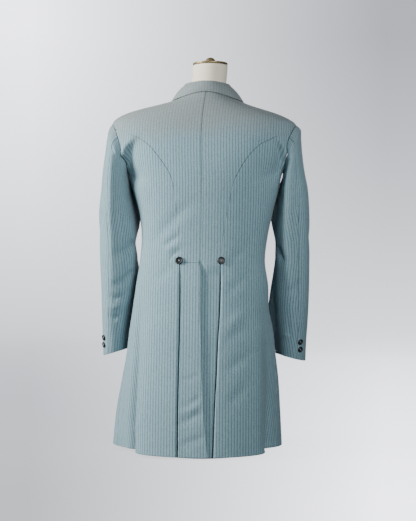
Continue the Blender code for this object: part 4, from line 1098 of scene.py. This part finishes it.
def sleeve(side, turn, station):
    """Points of the sleeve, whose first ring is moved onto the armhole's edge."""
    turn, station = np.broadcast_arrays(np.asarray(turn, float), np.asarray(station, float))
    tube = sleeve_tube(side, turn, station)
    first = sleeve_tube(side, turn, np.zeros(turn.shape))
    hole, _ = coat(*armhole(side, turn))
    fade = np.clip(1 - station / HEAD_RUN, 0, 1)**2
    return tube + (hole - first) * fade[..., None]


def sleeve_normal(side, turn, station):
    """Outward normals of the sleeve."""
    def surface(turn, station):
        return sleeve(side, turn, station)

    axis = (sleeve(side, turn, station) + sleeve(side, turn + 180, station)) / 2
    return normals(surface, turn, np.clip(station, 0.004, 0.996), 1.0, 0.003, axis)


stations = 1 - rows_between((1.0, 0.0010), (0.996, 0.0025), (0.97, 0.0065), (0.012, 0.0012),
                            (0.0, 1))
stations = np.unique(np.round(stations, 6))[:, None]
half_gap = math.degrees(SEAM / 2 / SLEEVE_RADIUS)
per_degree = math.radians(SLEEVE_RADIUS)
for side, word in ((1, "left"), (-1, "right")):
    folds = [([(a * per_degree, b * SLEEVE_LENGTH, c) for a, b, c in line], left, right, sharp)
             for line, left, right, sharp in SLEEVE_FOLDS[side]]
    for half, first, last in (("upper", FORE_SEAM - 360, HIND_SEAM),
                              ("under", HIND_SEAM, FORE_SEAM)):
        sweep = last - first - 2 * half_gap
        turn = (first + half_gap) + sweep * columns_across(SLEEVE_COLUMNS)[None, :]
        turn = turn * np.ones(stations.shape)
        station = stations * np.ones(turn.shape)
        points = sleeve(side, turn, station)
        normal = sleeve_normal(side, turn, station)
        depth = sum(fold_depth((turn + whole_turn) * per_degree, station * SLEEVE_LENGTH, folds)
                    for whole_turn in (-360, 0, 360))
        depth = depth * smooth_step(station / FOLD_START)

        # Where the sleeve leaves the body over a convex corner, its wall turns to the
        # body's normal, and all of it starts a seam's width from the armhole's edge
        leave = sleeve(side, turn[:1], np.full((1, turn.shape[1]), HOLE_RUN)) - points[:1]
        leave /= np.linalg.norm(leave, axis=-1, keepdims=True)
        at_body = body_normal(*armhole(side, turn[:1]))
        convex = np.sum(leave * at_body, axis=-1, keepdims=True) < 0
        near_hole = smooth_step(1 - station / HOLE_RUN)[..., None]
        normal = normal + (at_body - normal) * (near_hole * convex)
        normal /= np.linalg.norm(normal, axis=-1, keepdims=True)
        points = points + leave * SEAM * near_hole
        points = points + normal * depth[..., None]
        around, down = run_length(points, 1), run_length(points, 0)
        edges = (around, around[:, -1:] - around, down, down[-1:] - down)
        drop = np.min([rounded(away) for away in edges], axis=0)
        cut = np.stack([around - around[:, -1:] / 2, points[..., 2], edges[3]], -1)
        piece = cloth_wall(f"sleeve_{half}_{word}", points + normal * drop[..., None],
                           points - normal * CLOTH, cut, np.min(edges[:3], axis=0))


# The buttons: horn, turned with a raised rim round a dished middle, four holes
# drilled through it, and sewn on with a cross of grey thread that covers them.

WAIST_BUTTON = 0.0200
CUFF_BUTTON = 0.0160
FRONT_BUTTON = 0.0200
BUTTON_LIFT = 0.0009
THREAD_RADIUS = 0.00045
THREAD_REACH = 0.19

# Turn, station and lift of the buttons on the left cuff (1) and the right (-1)
CUFF_BUTTONS = {
    1: [(38.0, 0.925, 0.0000), (38.0, 0.955, 0.0000)],
    -1: [(55.0, 0.925, -0.0004), (55.0, 0.955, -0.0004)],
}

# Buffalo horn, turned and polished: almost black with faint grey streaks a few
# millimetres apart, and a soft gloss.
dark_horn, tree, shader = new_material("polished dark horn")
streak = noise(tree, node(tree, "TexCoord")["Object"], 260.0, 3.0)
tree.links.new(mixed(tree, streak, "#090c0f", "#1d2428"), shader.inputs["Base Color"])
shader.inputs["Roughness"].default_value = 0.50
shader.inputs["IOR"].default_value = 1.45

# Buttonhole twist: silk thread in the cloth's own grey, its plies light and dark.
thread, tree, shader = new_material("grey silk twist")
ply = noise(tree, node(tree, "TexCoord")["Object"], 1500.0, 2.0)
tree.links.new(mixed(tree, ply, "#6c7d84", "#9fb0b5"), shader.inputs["Base Color"])
shader.inputs["Roughness"].default_value = 0.55


def sewn_button(name, diameter, point, normal, lift):
    """A button turned about the cloth's normal, its rim and dish as a smooth profile, with
    two crossed threads on it, each an arch h sin(pi t) of six-sided tube."""
    radius, thick = diameter / 2, diameter * 0.20
    place = point + normal * lift
    profile = np.concatenate([
        [(0.30 * radius, 0.60 * thick), (0.56 * radius, 0.62 * thick)],
        bend(0.13 * radius, (0.80 * radius, 0.86 * thick), 160, 20, 8),
        bend(0.10 * radius, (0.90 * radius, 0.60 * thick), 60, -60, 7),
        [(0.86 * radius, 0.05 * thick), (0.82 * radius, 0.0)],
    ])
    stand_for(turned(name + "_turned", profile, 64, dark_horn, place, normal), name)
    t = np.linspace(0, 1, 9)[:, None]
    sixths = np.radians(np.arange(0, 360, 60))[:, None]
    for number, end in enumerate(((1, 1), (1, -1)), start=1):
        line = np.array(end) * (2 * t - 1) * THREAD_REACH * radius
        arch = 0.60 * thick - 0.0001 + 0.0003 * (number + 1) * np.sin(np.pi * t)
        across = np.array([-end[1], end[0], 0.0]) / math.sqrt(2)
        ring = across * np.cos(sixths) + np.array([0, 0, 1.0]) * np.sin(sixths)
        tube = np.concatenate([line, arch], axis=1)[:, None, :] + ring[None] * THREAD_RADIUS
        faces = ring_faces(9, 6).tolist() + [list(range(5, -1, -1)), list(range(48, 54))]
        sewn = add_object(f"{name}_thread_{number}", tube @ laid_along(normal).T + place, faces,
                          thread)
        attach(sewn, "root")


for side, word in ((1, "left"), (-1, "right")):
    angle = panel_angle(side, PLEATS(word, WAIST), np.array(WAIST))
    sewn_button("button_waist_" + word, WAIST_BUTTON, body(angle, WAIST),
                body_normal(angle, WAIST), BUTTON_LIFT)
    for number, (turn, station, lift) in enumerate(CUFF_BUTTONS[side], start=1):
        turn, station = np.array(turn), np.array(station)
        sewn_button(f"button_cuff_{word}_{number}", CUFF_BUTTON, sleeve(side, turn, station),
                    sleeve_normal(side, turn, station), lift)
middle = np.array(180.0)
for number, height in enumerate((0.640, 0.575, 0.510), start=1):
    normal = body_normal(middle, height)
    sewn_button(f"button_front_{number}", FRONT_BUTTON, body(middle, height) + normal * LAP_STEP,
                normal, BUTTON_LIFT)


# The studio: a pale floor that curves up into a plain backdrop, a large soft key
# light from the left of the picture, weaker fills beside the camera and before the
# front, and the camera at waist button height, a little to the right of square on.

FLOOR_RADIUS = 7.0
FLOOR_RISE = 6.0
CORNER = 2.0
CAMERA_DISTANCE = 3.4

# Backdrop paper, matt and pale, its own glow standing in for the lamps that light it;
# it is a little brighter to the upper left and lower right of the picture.
paper, tree, shader = new_material("pale backdrop paper")
where = node(tree, "TexCoord")["Object"]
parts = node(tree, "SeparateXYZ", {"Vector": where})
beside_view = maths(tree, "MULTIPLY_ADD", parts["Y"], 0.07, parts["X"])
away = maths(tree, "MAXIMUM", maths(tree, "SUBTRACT", CAMERA_DISTANCE, parts["Y"]), 2.0)
across = spread(tree, maths(tree, "DIVIDE", beside_view, away), -0.14, 0.14, -1.0, 1.0)
upward = maths(tree, "MULTIPLY_ADD", parts["Y"], -0.35, parts["Z"])
upward = spread(tree, upward, -0.25, 4.75, -1.0, 1.0)
glow = maths(tree, "POWER", 2.4, maths(tree, "MULTIPLY", across, upward))
fibre = noise(tree, where, 40.0, 2.0)
tree.links.new(mixed(tree, fibre, "#505154", "#565759"), shader.inputs["Base Color"])
tree.links.new(maths(tree, "MULTIPLY", glow, 1.85), shader.inputs["Emission Strength"])
shader.inputs["Roughness"].default_value = 0.95
shader.inputs["Specular IOR Level"].default_value = 0.1
shader.inputs["Emission Color"].default_value = linear("#e2e4ec")

bow = np.radians(np.linspace(8, 90, 12))
flat_radius = FLOOR_RADIUS - CORNER
radius = np.concatenate([np.linspace(0.02, flat_radius, 24), flat_radius + CORNER * np.sin(bow),
                         [FLOOR_RADIUS]])
rise = np.concatenate([np.zeros(24), CORNER - CORNER * np.cos(bow), [FLOOR_RISE]])
turn = np.radians(np.arange(0, 360, 5.0))
floor_points = np.stack([radius[:, None] * np.cos(turn), radius[:, None] * np.sin(turn),
                         rise[:, None] * np.ones(turn.shape)], -1)
faces = ring_faces(len(radius), len(turn))[:, [0, 3, 2, 1]].tolist()
floor = add_object("studio_floor", floor_points, faces + [list(range(len(turn)))], paper)
floor.visible_diffuse = False
floor.visible_glossy = False


def soft_light(name, place, aim, size, power, colour):
    """A square area light at a place, turned towards a point."""
    lamp = bpy.data.lights.new(name, "AREA")
    lamp.size = size
    lamp.energy = power
    lamp.color = linear(colour)[:3]
    made = bpy.data.objects.new(name, lamp)
    made.location = place
    made.rotation_euler = (Vector(aim) - Vector(place)).to_track_quat("-Z", "Y").to_euler()
    bpy.context.collection.objects.link(made)


soft_light("key", (2.80, 0.88, 1.40), (0, 0, 0.55), 1.2, 312, "#fffdf8")
soft_light("fill", (-1.15, 2.60, 1.25), (0, 0, 0.5), 1.2, 88, "#ffffff")
soft_light("front", (-0.6, -3.2, 1.6), (0, 0, 0.5), 2.4, 60, "#f6f8ff")
world = bpy.data.worlds.new("studio")
world.use_nodes = True
world.node_tree.nodes["Background"].inputs["Color"].default_value = linear("#b9d0e4")
world.node_tree.nodes["Background"].inputs["Strength"].default_value = 0.055
bpy.context.scene.world = world

lens = bpy.data.cameras.new("camera")
lens.sensor_width = 36.0
lens.lens = 87.96
camera = bpy.data.objects.new("camera", lens)
azimuth = math.radians(184)
target = Vector((-0.012, 0.0, 0.509))
away = Vector((math.sin(azimuth), -math.cos(azimuth), 0))
camera.location = target + CAMERA_DISTANCE * away
camera.rotation_euler = (target - camera.location).to_track_quat("-Z", "Y").to_euler()
bpy.context.collection.objects.link(camera)
bpy.context.scene.camera = camera
